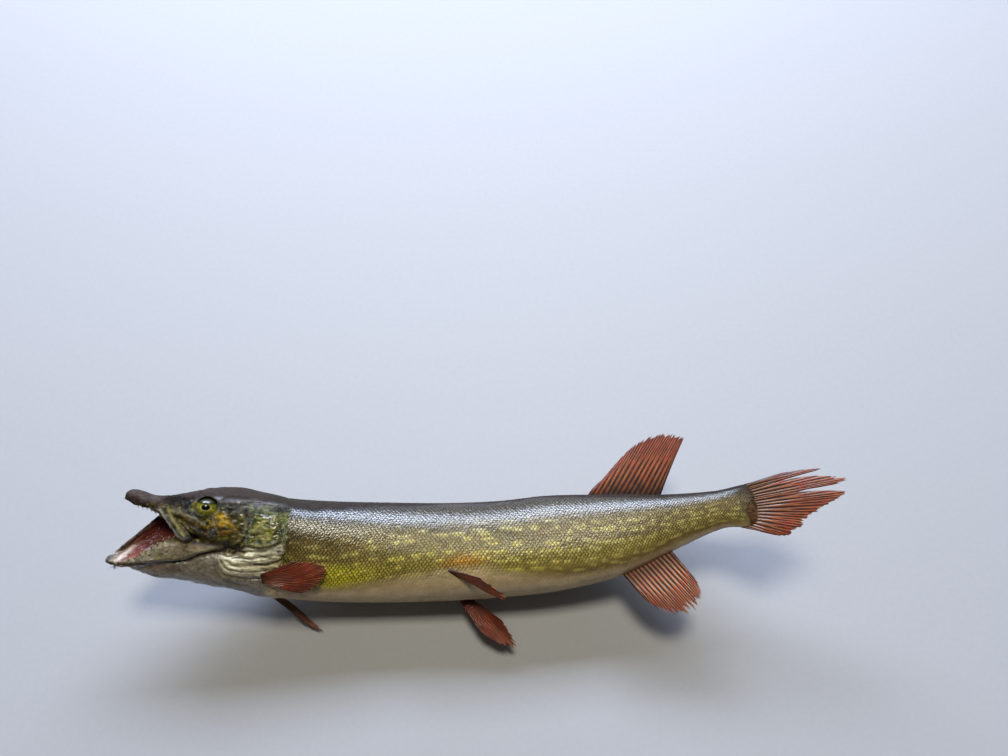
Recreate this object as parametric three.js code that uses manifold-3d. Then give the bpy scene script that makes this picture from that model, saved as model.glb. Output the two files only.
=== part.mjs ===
// A mounted northern pike, life size, resting on its right side. Millimetres, +Z up.
//
// The fish is shaped straight first, in body coordinates: s runs from the tip of the snout towards
// the tail, y is dorsal and z is the fish's left. The spine then carries every point into place:
// the head and the tail rise from the surface, and the head is rolled a little towards the viewer.
import * as THREE from "three";
import { mergeVertices } from "three/addons/utils/BufferGeometryUtils.js";
import Module from "manifold-3d";

const wasm = await Module();
wasm.setup();

// ---- driving dimensions ----
const standardLength = 437; // snout tip to the root of the tail fin
const bodyDepth = 73; // deepest part of the trunk
const bodyWidth = 54; // widest part of the trunk
const headLength = 112; // the straight, stiff front of the fish: head and shoulder
const gap = 0.35; // clearance between neighbouring pieces
const restDepth = 26.2; // height of the spine above the surface at its lowest point
const trunkStart = 99; // where the trunk begins, under the gill covers
const trunkJoint = 225; // the trunk's two halves meet here
const stalkStart = 340;
const stalkEnd = standardLength + 5;
const skullEnd = trunkStart - gap;

const degrees = Math.PI / 180;
const halfDepth = bodyDepth / 2;
const halfWidth = bodyWidth / 2;

// ---- smooth curves through a few stations ----
// Rows are [station, value, value, ...]; the result passes smoothly through every row.
function smooth(rows, at, column = 1) {
  const last = rows.length - 1;
  if (at <= rows[0][0]) return rows[0][column];
  if (at >= rows[last][0]) return rows[last][column];
  let k = 0;
  while (at > rows[k + 1][0]) k += 1;
  const slope = (i) => {
    const before = Math.max(i - 1, 0);
    const after = Math.min(i + 1, last);
    return (rows[after][column] - rows[before][column]) / (rows[after][0] - rows[before][0]);
  };
  const width = rows[k + 1][0] - rows[k][0];
  const t = (at - rows[k][0]) / width;
  const rise = t * t * (3 - 2 * t);
  return (
    rows[k][column] * (1 - rise) +
    rows[k + 1][column] * rise +
    width * (slope(k) * t * (1 - t) * (1 - t) - slope(k + 1) * t * t * (1 - t))
  );
}

// ---- the spine: how the straight fish is bent ----
// [s, rise above the surface, swing towards the back, roll of the belly upwards], in degrees.
const spineAngles = [
  [headLength, -16, -3.3, -25],
  [150, -8.8, -1.4, -13],
  [190, -2.6, -0.6, 0],
  [220, -0.2, 0.4, 6],
  [250, 1.2, 1.7, 8],
  [290, 5, 3.5, 5],
  [340, 13, 5.5, 0],
  [390, 22, 5, -4],
  [standardLength, 28, 2.5, -5],
  [520, 31, 1, -5],
];
const lowestStation = 220; // where the spine comes nearest to the surface
const spineStep = 1;
const spineEnds = { front: -30, rear: 530 };
const spinePoints = new Map();

function headingAt(s) {
  const rise = smooth(spineAngles, s, 1) * degrees;
  const swing = smooth(spineAngles, s, 2) * degrees;
  return new THREE.Vector3(
    Math.cos(rise) * Math.cos(swing),
    Math.cos(rise) * Math.sin(swing),
    Math.sin(rise),
  );
}

// The spine is walked in small steps from its lowest station, both ways.
function walkSpine(direction, end) {
  const point = new THREE.Vector3(0, 0, restDepth);
  spinePoints.set(lowestStation, point.clone());
  for (let s = lowestStation; direction * (end - s) > 0; s += direction * spineStep) {
    const middle = headingAt(s + (direction * spineStep) / 2);
    point.addScaledVector(middle, direction * spineStep);
    spinePoints.set(s + direction * spineStep, point.clone());
  }
}
walkSpine(-1, spineEnds.front);
walkSpine(1, spineEnds.rear);

function spineAt(s) {
  const below = Math.floor(s);
  return spinePoints.get(below).clone().lerp(spinePoints.get(below + 1), s - below);
}

// Body coordinates to the fish's place in space.
function place(s, y, z) {
  const along = headingAt(s);
  const swing = smooth(spineAngles, s, 2) * degrees;
  const rise = smooth(spineAngles, s, 1) * degrees;
  const up = new THREE.Vector3(
    -Math.sin(rise) * Math.cos(swing),
    -Math.sin(rise) * Math.sin(swing),
    Math.cos(rise),
  );
  const back = new THREE.Vector3().crossVectors(up, along);
  const roll = smooth(spineAngles, s, 3) * degrees;
  const dorsal = back.clone().multiplyScalar(Math.cos(roll)).addScaledVector(up, -Math.sin(roll));
  const left = up.clone().multiplyScalar(Math.cos(roll)).addScaledVector(back, Math.sin(roll));
  return spineAt(s).addScaledVector(dorsal, y).addScaledVector(left, z);
}

// ---- solids from grids of points ----
function closedGeometry(points, faces) {
  const positions = new Float32Array(points.flatMap((p) => [p.x, p.y, p.z]));
  let volume = 0;
  for (const [a, b, c] of faces) {
    volume += points[a].dot(new THREE.Vector3().crossVectors(points[b], points[c])) / 6;
  }
  const index = faces.flatMap(([a, b, c]) => (volume < 0 ? [a, c, b] : [a, b, c]));
  const geometry = new THREE.BufferGeometry();
  geometry.setAttribute("position", new THREE.BufferAttribute(positions, 3));
  geometry.setIndex(index);
  return geometry;
}

// A skin over rings of equal length, closed at both ends.
function loft(rings) {
  const points = rings.flat();
  const around = rings[0].length;
  const faces = [];
  for (let i = 0; i + 1 < rings.length; i += 1) {
    for (let j = 0; j < around; j += 1) {
      const a = i * around + j;
      const b = i * around + ((j + 1) % around);
      faces.push([a, b, b + around], [a, b + around, a + around]);
    }
  }
  for (const [ring, start, flip] of [
    [rings[0], 0, true],
    [rings[rings.length - 1], (rings.length - 1) * around, false],
  ]) {
    const centre = new THREE.Vector3();
    ring.forEach((p) => centre.addScaledVector(p, 1 / around));
    points.push(centre);
    for (let j = 0; j < around; j += 1) {
      const a = start + j;
      const b = start + ((j + 1) % around);
      faces.push(flip ? [b, a, points.length - 1] : [a, b, points.length - 1]);
    }
  }
  return closedGeometry(points, faces);
}

// A blade about a grid of middle points, with its thickness at each point.
function blade(grid, thicknessAt) {
  const rows = grid.length;
  const columns = grid[0].length;
  const sides = [1, -1].map((side) =>
    grid.flatMap((row, i) =>
      row.map((p, j) => {
        const across = grid[Math.min(i + 1, rows - 1)][j].clone().sub(grid[Math.max(i - 1, 0)][j]);
        const along = row[Math.min(j + 1, columns - 1)].clone().sub(row[Math.max(j - 1, 0)]);
        const normal = across.cross(along).normalize();
        return p.clone().addScaledVector(normal, (side * thicknessAt(i, j)) / 2);
      }),
    ),
  );
  const points = sides.flat();
  const far = rows * columns;
  const faces = [];
  for (let i = 0; i + 1 < rows; i += 1) {
    for (let j = 0; j + 1 < columns; j += 1) {
      const a = i * columns + j;
      faces.push([a, a + 1, a + columns + 1], [a, a + columns + 1, a + columns]);
      faces.push([far + a, far + a + columns + 1, far + a + 1]);
      faces.push([far + a, far + a + columns, far + a + columns + 1]);
    }
  }
  const rim = [];
  for (let j = 0; j < columns; j += 1) rim.push(j);
  for (let i = 1; i < rows; i += 1) rim.push(i * columns + columns - 1);
  for (let j = columns - 2; j >= 0; j -= 1) rim.push((rows - 1) * columns + j);
  for (let i = rows - 2; i > 0; i -= 1) rim.push(i * columns);
  rim.forEach((a, k) => {
    const b = rim[(k + 1) % rim.length];
    faces.push([b, a, far + a], [b, far + a, far + b]);
  });
  return closedGeometry(points, faces);
}

const weldDistance = 1e-4;
function toSolid(geometry) {
  const bare = geometry.clone();
  bare.deleteAttribute("normal");
  bare.deleteAttribute("uv");
  const merged = mergeVertices(bare, weldDistance);
  return new wasm.Manifold(
    new wasm.Mesh({
      numProp: 3,
      vertProperties: merged.attributes.position.array,
      triVerts: new Uint32Array(merged.index.array),
    }),
  );
}

function toGeometry(solid) {
  const largest = solid.decompose().sort((a, b) => b.volume() - a.volume())[0];
  const mesh = largest.getMesh();
  const geometry = new THREE.BufferGeometry();
  geometry.setAttribute("position", new THREE.BufferAttribute(mesh.vertProperties.slice(), 3));
  geometry.setIndex(new THREE.BufferAttribute(mesh.triVerts.slice(), 1));
  return geometry;
}

// ---- cross-sections ----
// A closed outline in y and z: half width, top, widest level, bottom, and how square each half is.
// A dip hollows the top along the middle, and a lift hollows the bottom.
function section(shape, count) {
  const ring = [];
  for (let j = 0; j < count; j += 1) {
    const angle = (j / count) * 2 * Math.PI;
    const across = Math.sin(angle);
    const upright = Math.cos(angle);
    const power = 2 / (upright > 0 ? shape.squareTop : shape.squareBottom);
    const z = shape.width * Math.sign(across) * Math.abs(across) ** power;
    const reach = upright > 0 ? shape.top - shape.middle : shape.middle - shape.bottom;
    let y = shape.middle + Math.sign(upright) * reach * Math.abs(upright) ** power;
    const share = Math.abs(z) / (shape.width * shape.hollow);
    const cup = share < 1 ? (1 - share * share) ** 2 : 0;
    if (upright > 0) y -= shape.dip * cup;
    else y += shape.lift * cup;
    ring.push([y, z]);
  }
  return ring;
}

const plain = { squareTop: 2.3, squareBottom: 2.3, dip: 0, lift: 0, hollow: 0.8 };

function loftAlong(stations, shapeAt, count, carry = place) {
  return loft(
    stations.map((s) => section({ ...plain, ...shapeAt(s) }, count).map(([y, z]) => carry(s, y, z))),
  );
}

function spread(from, to, count) {
  return Array.from({ length: count }, (_, i) => from + ((to - from) * i) / (count - 1));
}

// ---- the trunk ----
// [s, top, bottom, half width] as shares of the half depth and half width.
const trunkProfile = [
  [trunkStart, 0.99, -0.96, 0.87],
  [116, 0.99, -0.97, 0.95],
  [145, 1.0, -0.98, 0.99],
  [180, 1.0, -0.98, 1.0],
  [220, 0.98, -0.98, 0.99],
  [260, 0.96, -0.98, 0.97],
  [300, 0.96, -0.96, 0.9],
  [345, 0.78, -0.84, 0.72],
  [385, 0.55, -0.55, 0.5],
  [420, 0.41, -0.34, 0.31],
  [standardLength, 0.42, -0.4, 0.19],
  [444, 0.43, -0.41, 0.11],
];

function trunkShape(s, grow = 0) {
  const top = smooth(trunkProfile, s, 1) * halfDepth;
  const bottom = smooth(trunkProfile, s, 2) * halfDepth;
  return {
    width: smooth(trunkProfile, s, 3) * halfWidth + grow,
    top: top + grow,
    middle: (top + bottom) / 2,
    bottom: bottom - grow,
    squareTop: 2.25,
    squareBottom: 2.3,
  };
}

const trunkSides = 26;
const flank = (from, to, count, grow = 0) =>
  toSolid(loftAlong(spread(from, to, count), (s) => trunkShape(s, grow), trunkSides));

// The surface that the fish lies on; what would sink into it is cut to a small flat.
const floorSlab = toSolid(new THREE.BoxGeometry(900, 400, 100).translate(0, 0, -50));
const onFloor = (solid) => solid.subtract(floorSlab);

const trunkFront = onFloor(flank(trunkStart, trunkJoint, 11));
const trunkRear = onFloor(flank(trunkJoint + gap, stalkStart, 11));
const tailStalk = flank(stalkStart + gap, stalkEnd, 10);
const trunkRoom = flank(trunkStart, stalkEnd + gap, 40, gap);

// ---- the head ----
// [s, half width, top, widest level, lower edge, palate above the lower edge]
const skullProfile = [
  [-6.6, 3.2, 30, 27.8, 25.4, 0.1],
  [-4.2, 5.4, 31.9, 27.9, 24.2, 0.3],
  [-1, 7, 32.4, 27.6, 22.8, 0.4],
  [4, 8.6, 31.4, 26.8, 21.6, 0.8],
  [10, 9.8, 29.4, 25.6, 20.6, 1.6],
  [18, 11, 29.6, 24, 17, 4],
  [30, 12.6, 32.6, 22, 10.5, 8],
  [42, 14.6, 36.2, 20, 4.5, 9],
  [54, 16.8, 39, 16, 1, 5],
  [68, 19.6, 40.4, 12, -1, 0.6],
  [80, 21.8, 38.8, 6, -4, 0],
  [94, 23, 37, 2.5, -7, 0],
  [104, 22.6, 35, 1, -9, 0],
];

function skullShape(s, grow = 0) {
  return {
    width: smooth(skullProfile, s, 1) + grow,
    top: smooth(skullProfile, s, 2) + grow,
    middle: smooth(skullProfile, s, 3),
    bottom: smooth(skullProfile, s, 4) - grow,
    squareTop: 2.6,
    squareBottom: 3.2,
    lift: smooth(skullProfile, s, 5),
    hollow: 0.86,
  };
}

// The gill membranes between the jaw and the breast: [s, half width, bottom], and [s, top].
const throatTop = [
  [0, -17],
  [20, -9.4],
  [40, -2.8],
  [60, 1.4],
  [72, 2.5],
  [skullEnd, -2],
];
const throatProfile = [
  [0, 3, -20.9],
  [8, 6, -23.5],
  [20, 9, -26.6],
  [36, 12.4, -27.4],
  [52, 15.8, -29.6],
  [69, 19, -30.8],
  [85, 21.6, -33.2],
  [skullEnd, 23, -35.4],
];

// The lower jaw, measured from its tip along its length:
// [distance, half width, rim, underside, hollow below the rim].
const jawLength = 80;
const jawTip = { s: -13.8, y: -16.6 };
const jawDrop = 9 * degrees; // how far the jaw's line falls towards its tip
const jawSkew = 20 * degrees; // the dried jaw is warped: its right side stands higher at the tip
const jawProfile = [
  [0, 2.4, 0.7, -1.8, 0.2],
  [3, 4.6, 1, -3, 0.8],
  [8, 6.8, 1.1, -3.7, 1.4],
  [14, 8.6, 2.9, -3.8, 2.6],
  [22, 10.6, 6.6, -3.6, 4.4],
  [30, 12.2, 11.8, -3.4, 7],
  [38, 13.6, 16.3, -3, 9.6],
  [46, 14.8, 18.6, -3, 11],
  [58, 15.6, 16, -1, 7],
  [70, 16.4, 11.8, 2.8, 2],
  [jawLength, 16.8, 8.6, 4.2, 0],
];

function carryJaw(u, y, z) {
  const skewed = y - z * Math.tan(jawSkew * (1 - Math.min(u / jawLength, 1) ** 2));
  const s = jawTip.s + u * Math.cos(jawDrop) - skewed * Math.sin(jawDrop);
  return place(s, jawTip.y + u * Math.sin(jawDrop) + skewed * Math.cos(jawDrop), z);
}

function jawShape(u, grow = 0) {
  const top = smooth(jawProfile, u, 2);
  const bottom = smooth(jawProfile, u, 3);
  return {
    width: smooth(jawProfile, u, 1) + grow,
    top: top + grow,
    middle: (top + bottom) / 2,
    bottom: bottom - grow,
    squareTop: 3.2,
    squareBottom: 2.6,
    dip: Math.max(smooth(jawProfile, u, 4) - 2 * grow, 0),
    hollow: 0.88,
  };
}

const headSides = 26;
const jawStations = [0, 1.5, 4, 8, 13, 19, 25, 31, 37, 43, 50, 58, 68, jawLength];
const jawLoft = (shapeAt) => toSolid(loftAlong(jawStations, shapeAt, headSides, carryJaw));
const skullStations = [-6.6, -5, -2, 3, 8, 14, 20, 27, 34, 41, 49, 57, 65, 74, 84, skullEnd];
const skullLoft = (shapeAt) => toSolid(loftAlong(skullStations, shapeAt, headSides));

// What a neighbour has to stay clear of. A wide room parts two pieces right across the head.
const roomOverhang = 12;
const jawRoom = jawLoft((u) => jawShape(u, gap));
const skullRoom = skullLoft((s) => skullShape(s, gap));
const widened = (shape) => ({
  ...shape,
  width: shape.width + roomOverhang,
  squareBottom: 8,
  dip: 0,
  lift: 0,
});
const wideJawRoom = jawLoft((u) => widened(jawShape(u, gap)));
const wideSkullRoom = toSolid(
  loftAlong([...skullStations, trunkStart + 4], (s) => widened(skullShape(s, gap)), headSides),
);

function throatShape(s, grow = 0) {
  const bottom = smooth(throatProfile, s, 2) - grow;
  const top = smooth(throatTop, s);
  return {
    width: smooth(throatProfile, s, 1) + grow,
    top,
    middle: top - 0.3 * (top - bottom),
    bottom,
    squareTop: 2.2,
    squareBottom: 2.2,
  };
}
const throatStations = [1, 4, 9, 16, 24, 33, 42, 52, 62, 72, 82, 91, skullEnd];
const throatLoft = (grow) =>
  toSolid(loftAlong(throatStations, (s) => throatShape(s, grow), headSides));
const bodyRoom = trunkRoom.add(throatLoft(gap)).add(skullRoom);

// ---- eyes ----
const eye = { s: 48, y: 25.4, z: 8.7, radius: 7.9 };
const ball = (side, radius) =>
  toSolid(
    new THREE.SphereGeometry(radius, 16, 10)
      .rotateX(Math.PI / 2)
      .translate(...place(eye.s, eye.y, side * eye.z).toArray()),
  );

// The orbit stands out a little from the slope of the skull, with the brow above the eye.
const orbit = { s: 48.2, y: 28.6, z: 6.9, halfLength: 9.4, halfHeight: 8.7, outward: 8 };
const orbitMound = (side) =>
  toSolid(
    loftAlong(
      spread(-0.96, 0.96, 6),
      (t) => {
        const round = Math.sqrt(1 - t * t);
        const half = round * orbit.halfHeight;
        const width = round * orbit.outward;
        return { width, top: half, middle: 0, bottom: -half, squareTop: 2, squareBottom: 2 };
      },
      12,
      (t, y, z) => place(orbit.s + t * orbit.halfLength, orbit.y + y, side * (orbit.z + z)),
    ),
  );

// ---- the upper lip bones, hanging beside the gape ----
// The bone runs from the snout down to the corner of the mouth and widens on the way.
const lipTop = { s: 19, y: 23.4, outward: 12.2, width: 3.8 };
const lipFoot = { s: 39.2, y: 3.6, outward: 16.2, width: 8 };
const lipPlate = { thickness: 1.5, dome: 0.8 };
function lipBone(side, grow = 0) {
  const alongS = lipFoot.s - lipTop.s;
  const alongY = lipFoot.y - lipTop.y;
  const length = Math.hypot(alongS, alongY);
  const grid = spread(0, 1, 8).map((t) =>
    spread(-0.5, 0.5, 5).map((w) => {
      const width = lipTop.width + (lipFoot.width - lipTop.width) * t ** 0.8 + 2 * grow;
      const round = Math.sqrt(1 - 0.5 * (2 * Math.max(t - 0.5, 0)) ** 4);
      const s = lipTop.s + alongS * t - (w * width * round * alongY) / length;
      const y = lipTop.y + alongY * t + (w * width * round * alongS) / length;
      const outward = lipTop.outward + (lipFoot.outward - lipTop.outward) * t;
      return place(s, y, side * (outward + lipPlate.dome * (1 - 4 * w * w)));
    }),
  );
  return toSolid(blade(grid, () => lipPlate.thickness + 2 * grow));
}

// ---- the skin drawn across the far side of the gape ----
// Its free edge runs straight from the tip of the lower jaw to the snout.
const farSkin = {
  jaw: { from: 4, to: 42, below: 1.5, outward: 1.3 },
  edgeStart: [-10, -12.8, 5.4], // s, y and distance to the right
  edgeEnd: [18, 18, 11],
  thickness: 1.1,
};
function mouthSkin() {
  const { jaw, edgeStart, edgeEnd } = farSkin;
  const grid = spread(0, 1, 9).map((t) => {
    const u = jaw.from + (jaw.to - jaw.from) * t;
    const rim = jawShape(u);
    const low = carryJaw(u, rim.top - jaw.below, -(rim.width + jaw.outward));
    const [s, y, z] = edgeStart.map((start, i) => start + (edgeEnd[i] - start) * t);
    const high = place(s, y, -z);
    return spread(0, 1, 5).map((v) => low.clone().lerp(high, v));
  });
  return toSolid(blade(grid, () => farSkin.thickness));
}

// ---- gill covers ----
// A domed plate behind the cheek, with a rounded free edge behind.
const coverFront = { s: 76, bow: 3 };
const coverRear = { s: 104.5, bow: 8 };
const coverMiddle = { y: 11.5, half: 17.5, lowestOutline: 2 };
const coverPlate = { thickness: 1.4, dome: 1.2, clear: 0.65 };
function gillCover(side) {
  const grid = spread(-1, 1, 10).map((v) => {
    const rear = coverRear.s - coverRear.bow * Math.abs(v) ** 2.6;
    const front = coverFront.s + coverFront.bow * (1 - v * v);
    return spread(0, 1, 7).map((t) => {
      const s = front + (rear - front) * t;
      const y = coverMiddle.y + coverMiddle.half * v;
      const level = Math.max(y, coverMiddle.lowestOutline);
      const head = sideAt(skullShape(Math.min(s, skullEnd)), level);
      const body = Math.max(head, s > skullEnd - 4 ? sideAt(trunkShape(s), level) : 0);
      const dome = coverPlate.dome * (1 - v ** 4) * Math.sin(Math.PI * (0.15 + 0.6 * t));
      const outward = body + gap + coverPlate.clear + coverPlate.thickness / 2 + dome;
      return place(s, y, side * outward);
    });
  });
  return toSolid(blade(grid, () => coverPlate.thickness));
}

// Half width of a section at height y.
function sideAt(shape, y) {
  const square = y > shape.middle ? shape.squareTop : shape.squareBottom;
  const reach = y > shape.middle ? shape.top - shape.middle : shape.middle - shape.bottom;
  const share = Math.min(Math.abs(y - shape.middle) / reach, 1);
  return shape.width * (1 - share ** square) ** (1 / square);
}

// ---- tongue and teeth ----
// The tongue lies on the floor of the jaw and narrows towards its tip.
const tongueStations = [20, 24, 30, 38, 46, 54, 60];
const tongueSize = { tip: 18, length: 42, tipWidth: 0.8, growth: 3.4, height: 2.6 };
const tongue = toSolid(
  loftAlong(
    tongueStations,
    (u) => {
      const bottom = smooth(jawProfile, u, 2) - smooth(jawProfile, u, 4) + 0.8;
      const top = bottom + tongueSize.height;
      const share = (u - tongueSize.tip) / tongueSize.length;
      const width = tongueSize.growth * Math.sqrt(share) + tongueSize.tipWidth;
      return { width, top, middle: (top + bottom) / 2, bottom };
    },
    14,
    carryJaw,
  ),
);

function tooth(base, tip, radius) {
  const line = tip.clone().sub(base);
  const turn = new THREE.Quaternion().setFromUnitVectors(
    new THREE.Vector3(0, 1, 0),
    line.clone().normalize(),
  );
  const cone = new THREE.ConeGeometry(radius, line.length(), 5);
  cone.translate(0, line.length() / 2, 0).applyQuaternion(turn);
  return toSolid(cone.translate(base.x, base.y, base.z));
}

// Every other lower tooth is a long one; all of them lean back a little.
const lowerTooth = { radius: 0.9, inset: 0.9, long: 2.6, short: 1.6, sunk: 3.2, lean: 1 };
const lowerTeeth = spread(8, 56, 7).flatMap((u, i) =>
  [1, -1].map((side) => {
    const shape = jawShape(u);
    const z = side * shape.width * lowerTooth.inset;
    const height = i % 2 ? lowerTooth.short : lowerTooth.long;
    const base = carryJaw(u, shape.top - lowerTooth.sunk, z);
    return tooth(base, carryJaw(u + lowerTooth.lean, shape.top + height, z), lowerTooth.radius);
  }),
);
const upperTooth = { radius: 0.7, inset: 0.72, length: 1.6, sunk: 2, lean: 1.2 };
const upperTeeth = spread(4, 19, 5).flatMap((s) =>
  [1, -1].map((side) => {
    const shape = skullShape(s);
    const z = side * shape.width * upperTooth.inset;
    const base = place(s, shape.bottom + upperTooth.sunk, z);
    const tip = place(s + upperTooth.lean, shape.bottom - upperTooth.length, z);
    return tooth(base, tip, upperTooth.radius);
  }),
);
const joined = (solid, pieces) => pieces.reduce((whole, piece) => whole.add(piece), solid);

// ---- fins ----
// A fin is a fan of rays. Each ray starts at a root point and runs to a tip; rays that end short of
// their neighbours leave the notches of a worn edge.
const finTip = 0.8; // thickness at the tips
const pointsAlongRay = 6;
function fin(rays, rootThickness) {
  const grid = rays.map((ray) =>
    spread(0, 1, pointsAlongRay).map((t) => {
      const bow = ray.bow * Math.sin(Math.PI * t);
      const [s, y, z] = ray.root.map((from, i) => from + (ray.tip[i] - from) * t);
      return place(s, y, z + bow);
    }),
  );
  const taper = (i, j) => rootThickness + ((finTip - rootThickness) * j) / (pointsAlongRay - 1);
  return toSolid(blade(grid, taper)).subtract(bodyRoom);
}

// A fin in the fish's middle plane. Rows are [share of the root, ray angle, ray length].
const rootDepth = 3; // how far the rays start inside the body
function medianFin({ from, to, edge, side, shape, count, wear, bow }) {
  return spread(0, 1, count).map((share, i) => {
    const s = from + (to - from) * share;
    const angle = smooth(shape, share, 1) * degrees;
    const length = smooth(shape, share, 2) * (1 - wear * (i % 2));
    const tip = edge(s) + side * length * Math.sin(angle);
    return { root: [s, edge(s) - side * rootDepth, 0], tip: [s + length * Math.cos(angle), tip, 0], bow };
  });
}

const dorsalRays = medianFin({
  from: 327,
  to: 381,
  edge: (s) => trunkShape(s).top,
  side: 1,
  shape: [
    [0, 31, 11],
    [0.12, 43, 29.5],
    [0.28, 46.3, 46],
    [0.5, 45.6, 53],
    [0.75, 47, 51.5],
    [0.9, 48.5, 48.5],
    [1, 53.5, 44.8],
  ],
  count: 15,
  wear: 0.04,
  bow: 1.5,
});

const analRays = medianFin({
  from: 343,
  to: 380.5,
  edge: (s) => trunkShape(s).bottom,
  side: -1,
  shape: [
    [0, 56, 26],
    [0.15, 57, 38],
    [0.4, 57, 43.5],
    [0.65, 56.5, 43.5],
    [0.85, 56, 36.5],
    [1, 58.5, 28.5],
  ],
  count: 13,
  wear: 0.05,
  bow: 1,
});

// Tail fin: [share from the top ray to the bottom ray, tip s, tip y]; short rays are its splits.
const tailRoot = { s: standardLength - 5, half: 13.5, bulge: 4 };
const tailTips = [
  [0, 470, 17.8],
  [0.05, 493, 15.6],
  [0.1, 488, 14.4],
  [0.15, 474, 13.4],
  [0.2, 489, 11.4],
  [0.27, 505, 6.2],
  [0.34, 503, 3.4],
  [0.4, 489, 3],
  [0.46, 504, -2.4],
  [0.54, 497, -6.6],
  [0.62, 486, -12.2],
  [0.7, 476, -16],
  [0.78, 471.5, -20.4],
  [0.86, 463, -24.4],
  [0.93, 456, -23.4],
  [1, 449, -20.4],
];
const tailRays = tailTips.map(([share, s, y]) => {
  const level = 1 - 2 * share;
  const start = tailRoot.s + tailRoot.bulge * (1 - level * level);
  return { root: [start, tailRoot.half * level, 0], tip: [s, y, 0], bow: 1.2 };
});

// A paired fin: rays fan from a short root line towards the points of its far edge.
function pairedFin({ root, far, count, bow }) {
  const at = (rows, share, axis) =>
    smooth(rows.map((row, i) => [i / (rows.length - 1), ...row]), share, axis);
  return spread(0, 1, count).map((share) => ({
    root: [1, 2, 3].map((axis) => at(root, share, axis)),
    tip: [1, 2, 3].map((axis) => at(far, share, axis)),
    bow,
  }));
}

const pectoralLeftRays = pairedFin({
  root: [
    [90, -13, 24],
    [92, -20, 21.5],
  ],
  far: [
    [111, -1, 29.5],
    [129, -3.5, 30.5],
    [135, -9, 30],
    [131, -19, 28],
    [119, -25, 24.5],
  ],
  count: 9,
  bow: 1,
});
const pectoralRightRays = pairedFin({
  root: [
    [89, -29, -12],
    [91, -33, -8],
  ],
  far: [
    [113, -43, -14],
    [126, -52, -14],
    [137, -61, -13],
    [123, -55, -10],
  ],
  count: 9,
  bow: -0.5,
});
const pelvicLeftRays = pairedFin({
  root: [
    [223, -21, 23],
    [227, -24, 20],
  ],
  far: [
    [246, -31.5, 30],
    [262, -43, 27],
    [260.5, -45.5, 22],
    [248, -37.5, 19.5],
  ],
  count: 9,
  bow: 0,
});
const pelvicRightRays = pairedFin({
  root: [
    [226, -30, -12],
    [235, -30, -13],
  ],
  far: [
    [243, -57, -17],
    [255, -65, -19],
    [266, -66, -22],
    [257, -46.5, -24],
  ],
  count: 9,
  bow: 0,
});

// ---- materials ----
const paint = (color, roughness, metalness = 0) =>
  new THREE.MeshStandardMaterial({ color, roughness, metalness });
const skinPaint = paint(0x6f6a2a, 0.35, 0.05);
const headPaint = paint(0x6b5a2c, 0.32);
const throatPaint = paint(0x9a9482, 0.4);
const mouthPaint = paint(0x8a4034, 0.4);
const finPaint = paint(0x8c3a22, 0.4);
const eyePaint = paint(0x1c1f12, 0.08);

// ---- the fish ----
const fish = new THREE.Group();
function add(name, solid, material) {
  const mesh = new THREE.Mesh(toGeometry(solid), material);
  mesh.name = name;
  fish.add(mesh);
}

const sockets = ball(1, eye.radius + gap).add(ball(-1, eye.radius + gap));
const mounds = orbitMound(1).add(orbitMound(-1));
const skull = joined(skullLoft(skullShape).add(mounds).subtract(sockets), upperTeeth);
const jaw = joined(jawLoft(jawShape).subtract(wideSkullRoom), lowerTeeth);
const throat = onFloor(throatLoft(0).subtract(wideJawRoom).subtract(wideSkullRoom));
const coverLeft = gillCover(1);

add("head", skull, headPaint);
add("lower_jaw", jaw, headPaint);
add("throat", throat, throatPaint);
add("tongue", tongue.subtract(jawRoom), mouthPaint);
add("eye_left", ball(1, eye.radius), eyePaint);
add("eye_right", ball(-1, eye.radius), eyePaint);
add("upper_lip_left", lipBone(1).subtract(skullRoom).subtract(jawRoom), headPaint);
add("upper_lip_right", lipBone(-1).subtract(skullRoom).subtract(jawRoom), headPaint);
const skinClearance = skullRoom.add(jawRoom).add(lipBone(-1, gap));
add("mouth_skin_right", mouthSkin().subtract(skinClearance), mouthPaint);
add("gill_cover_left", coverLeft, headPaint);
add("gill_cover_right", onFloor(gillCover(-1)), headPaint);
add("trunk_front", trunkFront, skinPaint);
add("trunk_rear", trunkRear, skinPaint);
add("tail_stalk", tailStalk, skinPaint);
add("dorsal_fin", fin(dorsalRays, 2.2), finPaint);
add("anal_fin", fin(analRays, 2), finPaint);
add("tail_fin", fin(tailRays, 2.4), finPaint);
add("pectoral_fin_left", fin(pectoralLeftRays, 2).subtract(coverLeft), finPaint);
add("pectoral_fin_right", onFloor(fin(pectoralRightRays, 2)), finPaint);
add("pelvic_fin_left", fin(pelvicLeftRays, 1.8), finPaint);
add("pelvic_fin_right", onFloor(fin(pelvicRightRays, 1.8)), finPaint);

// The origin is the middle of the fish's box, on the surface it lies on.
const box = new THREE.Box3().setFromObject(fish);
const centre = box.getCenter(new THREE.Vector3());
fish.position.set(-centre.x, -centre.y, -box.min.z);

export default fish;
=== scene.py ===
import math

import bpy
import numpy as np
from mathutils import Matrix, Vector
from mathutils.bvhtree import BVHTree


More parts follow.
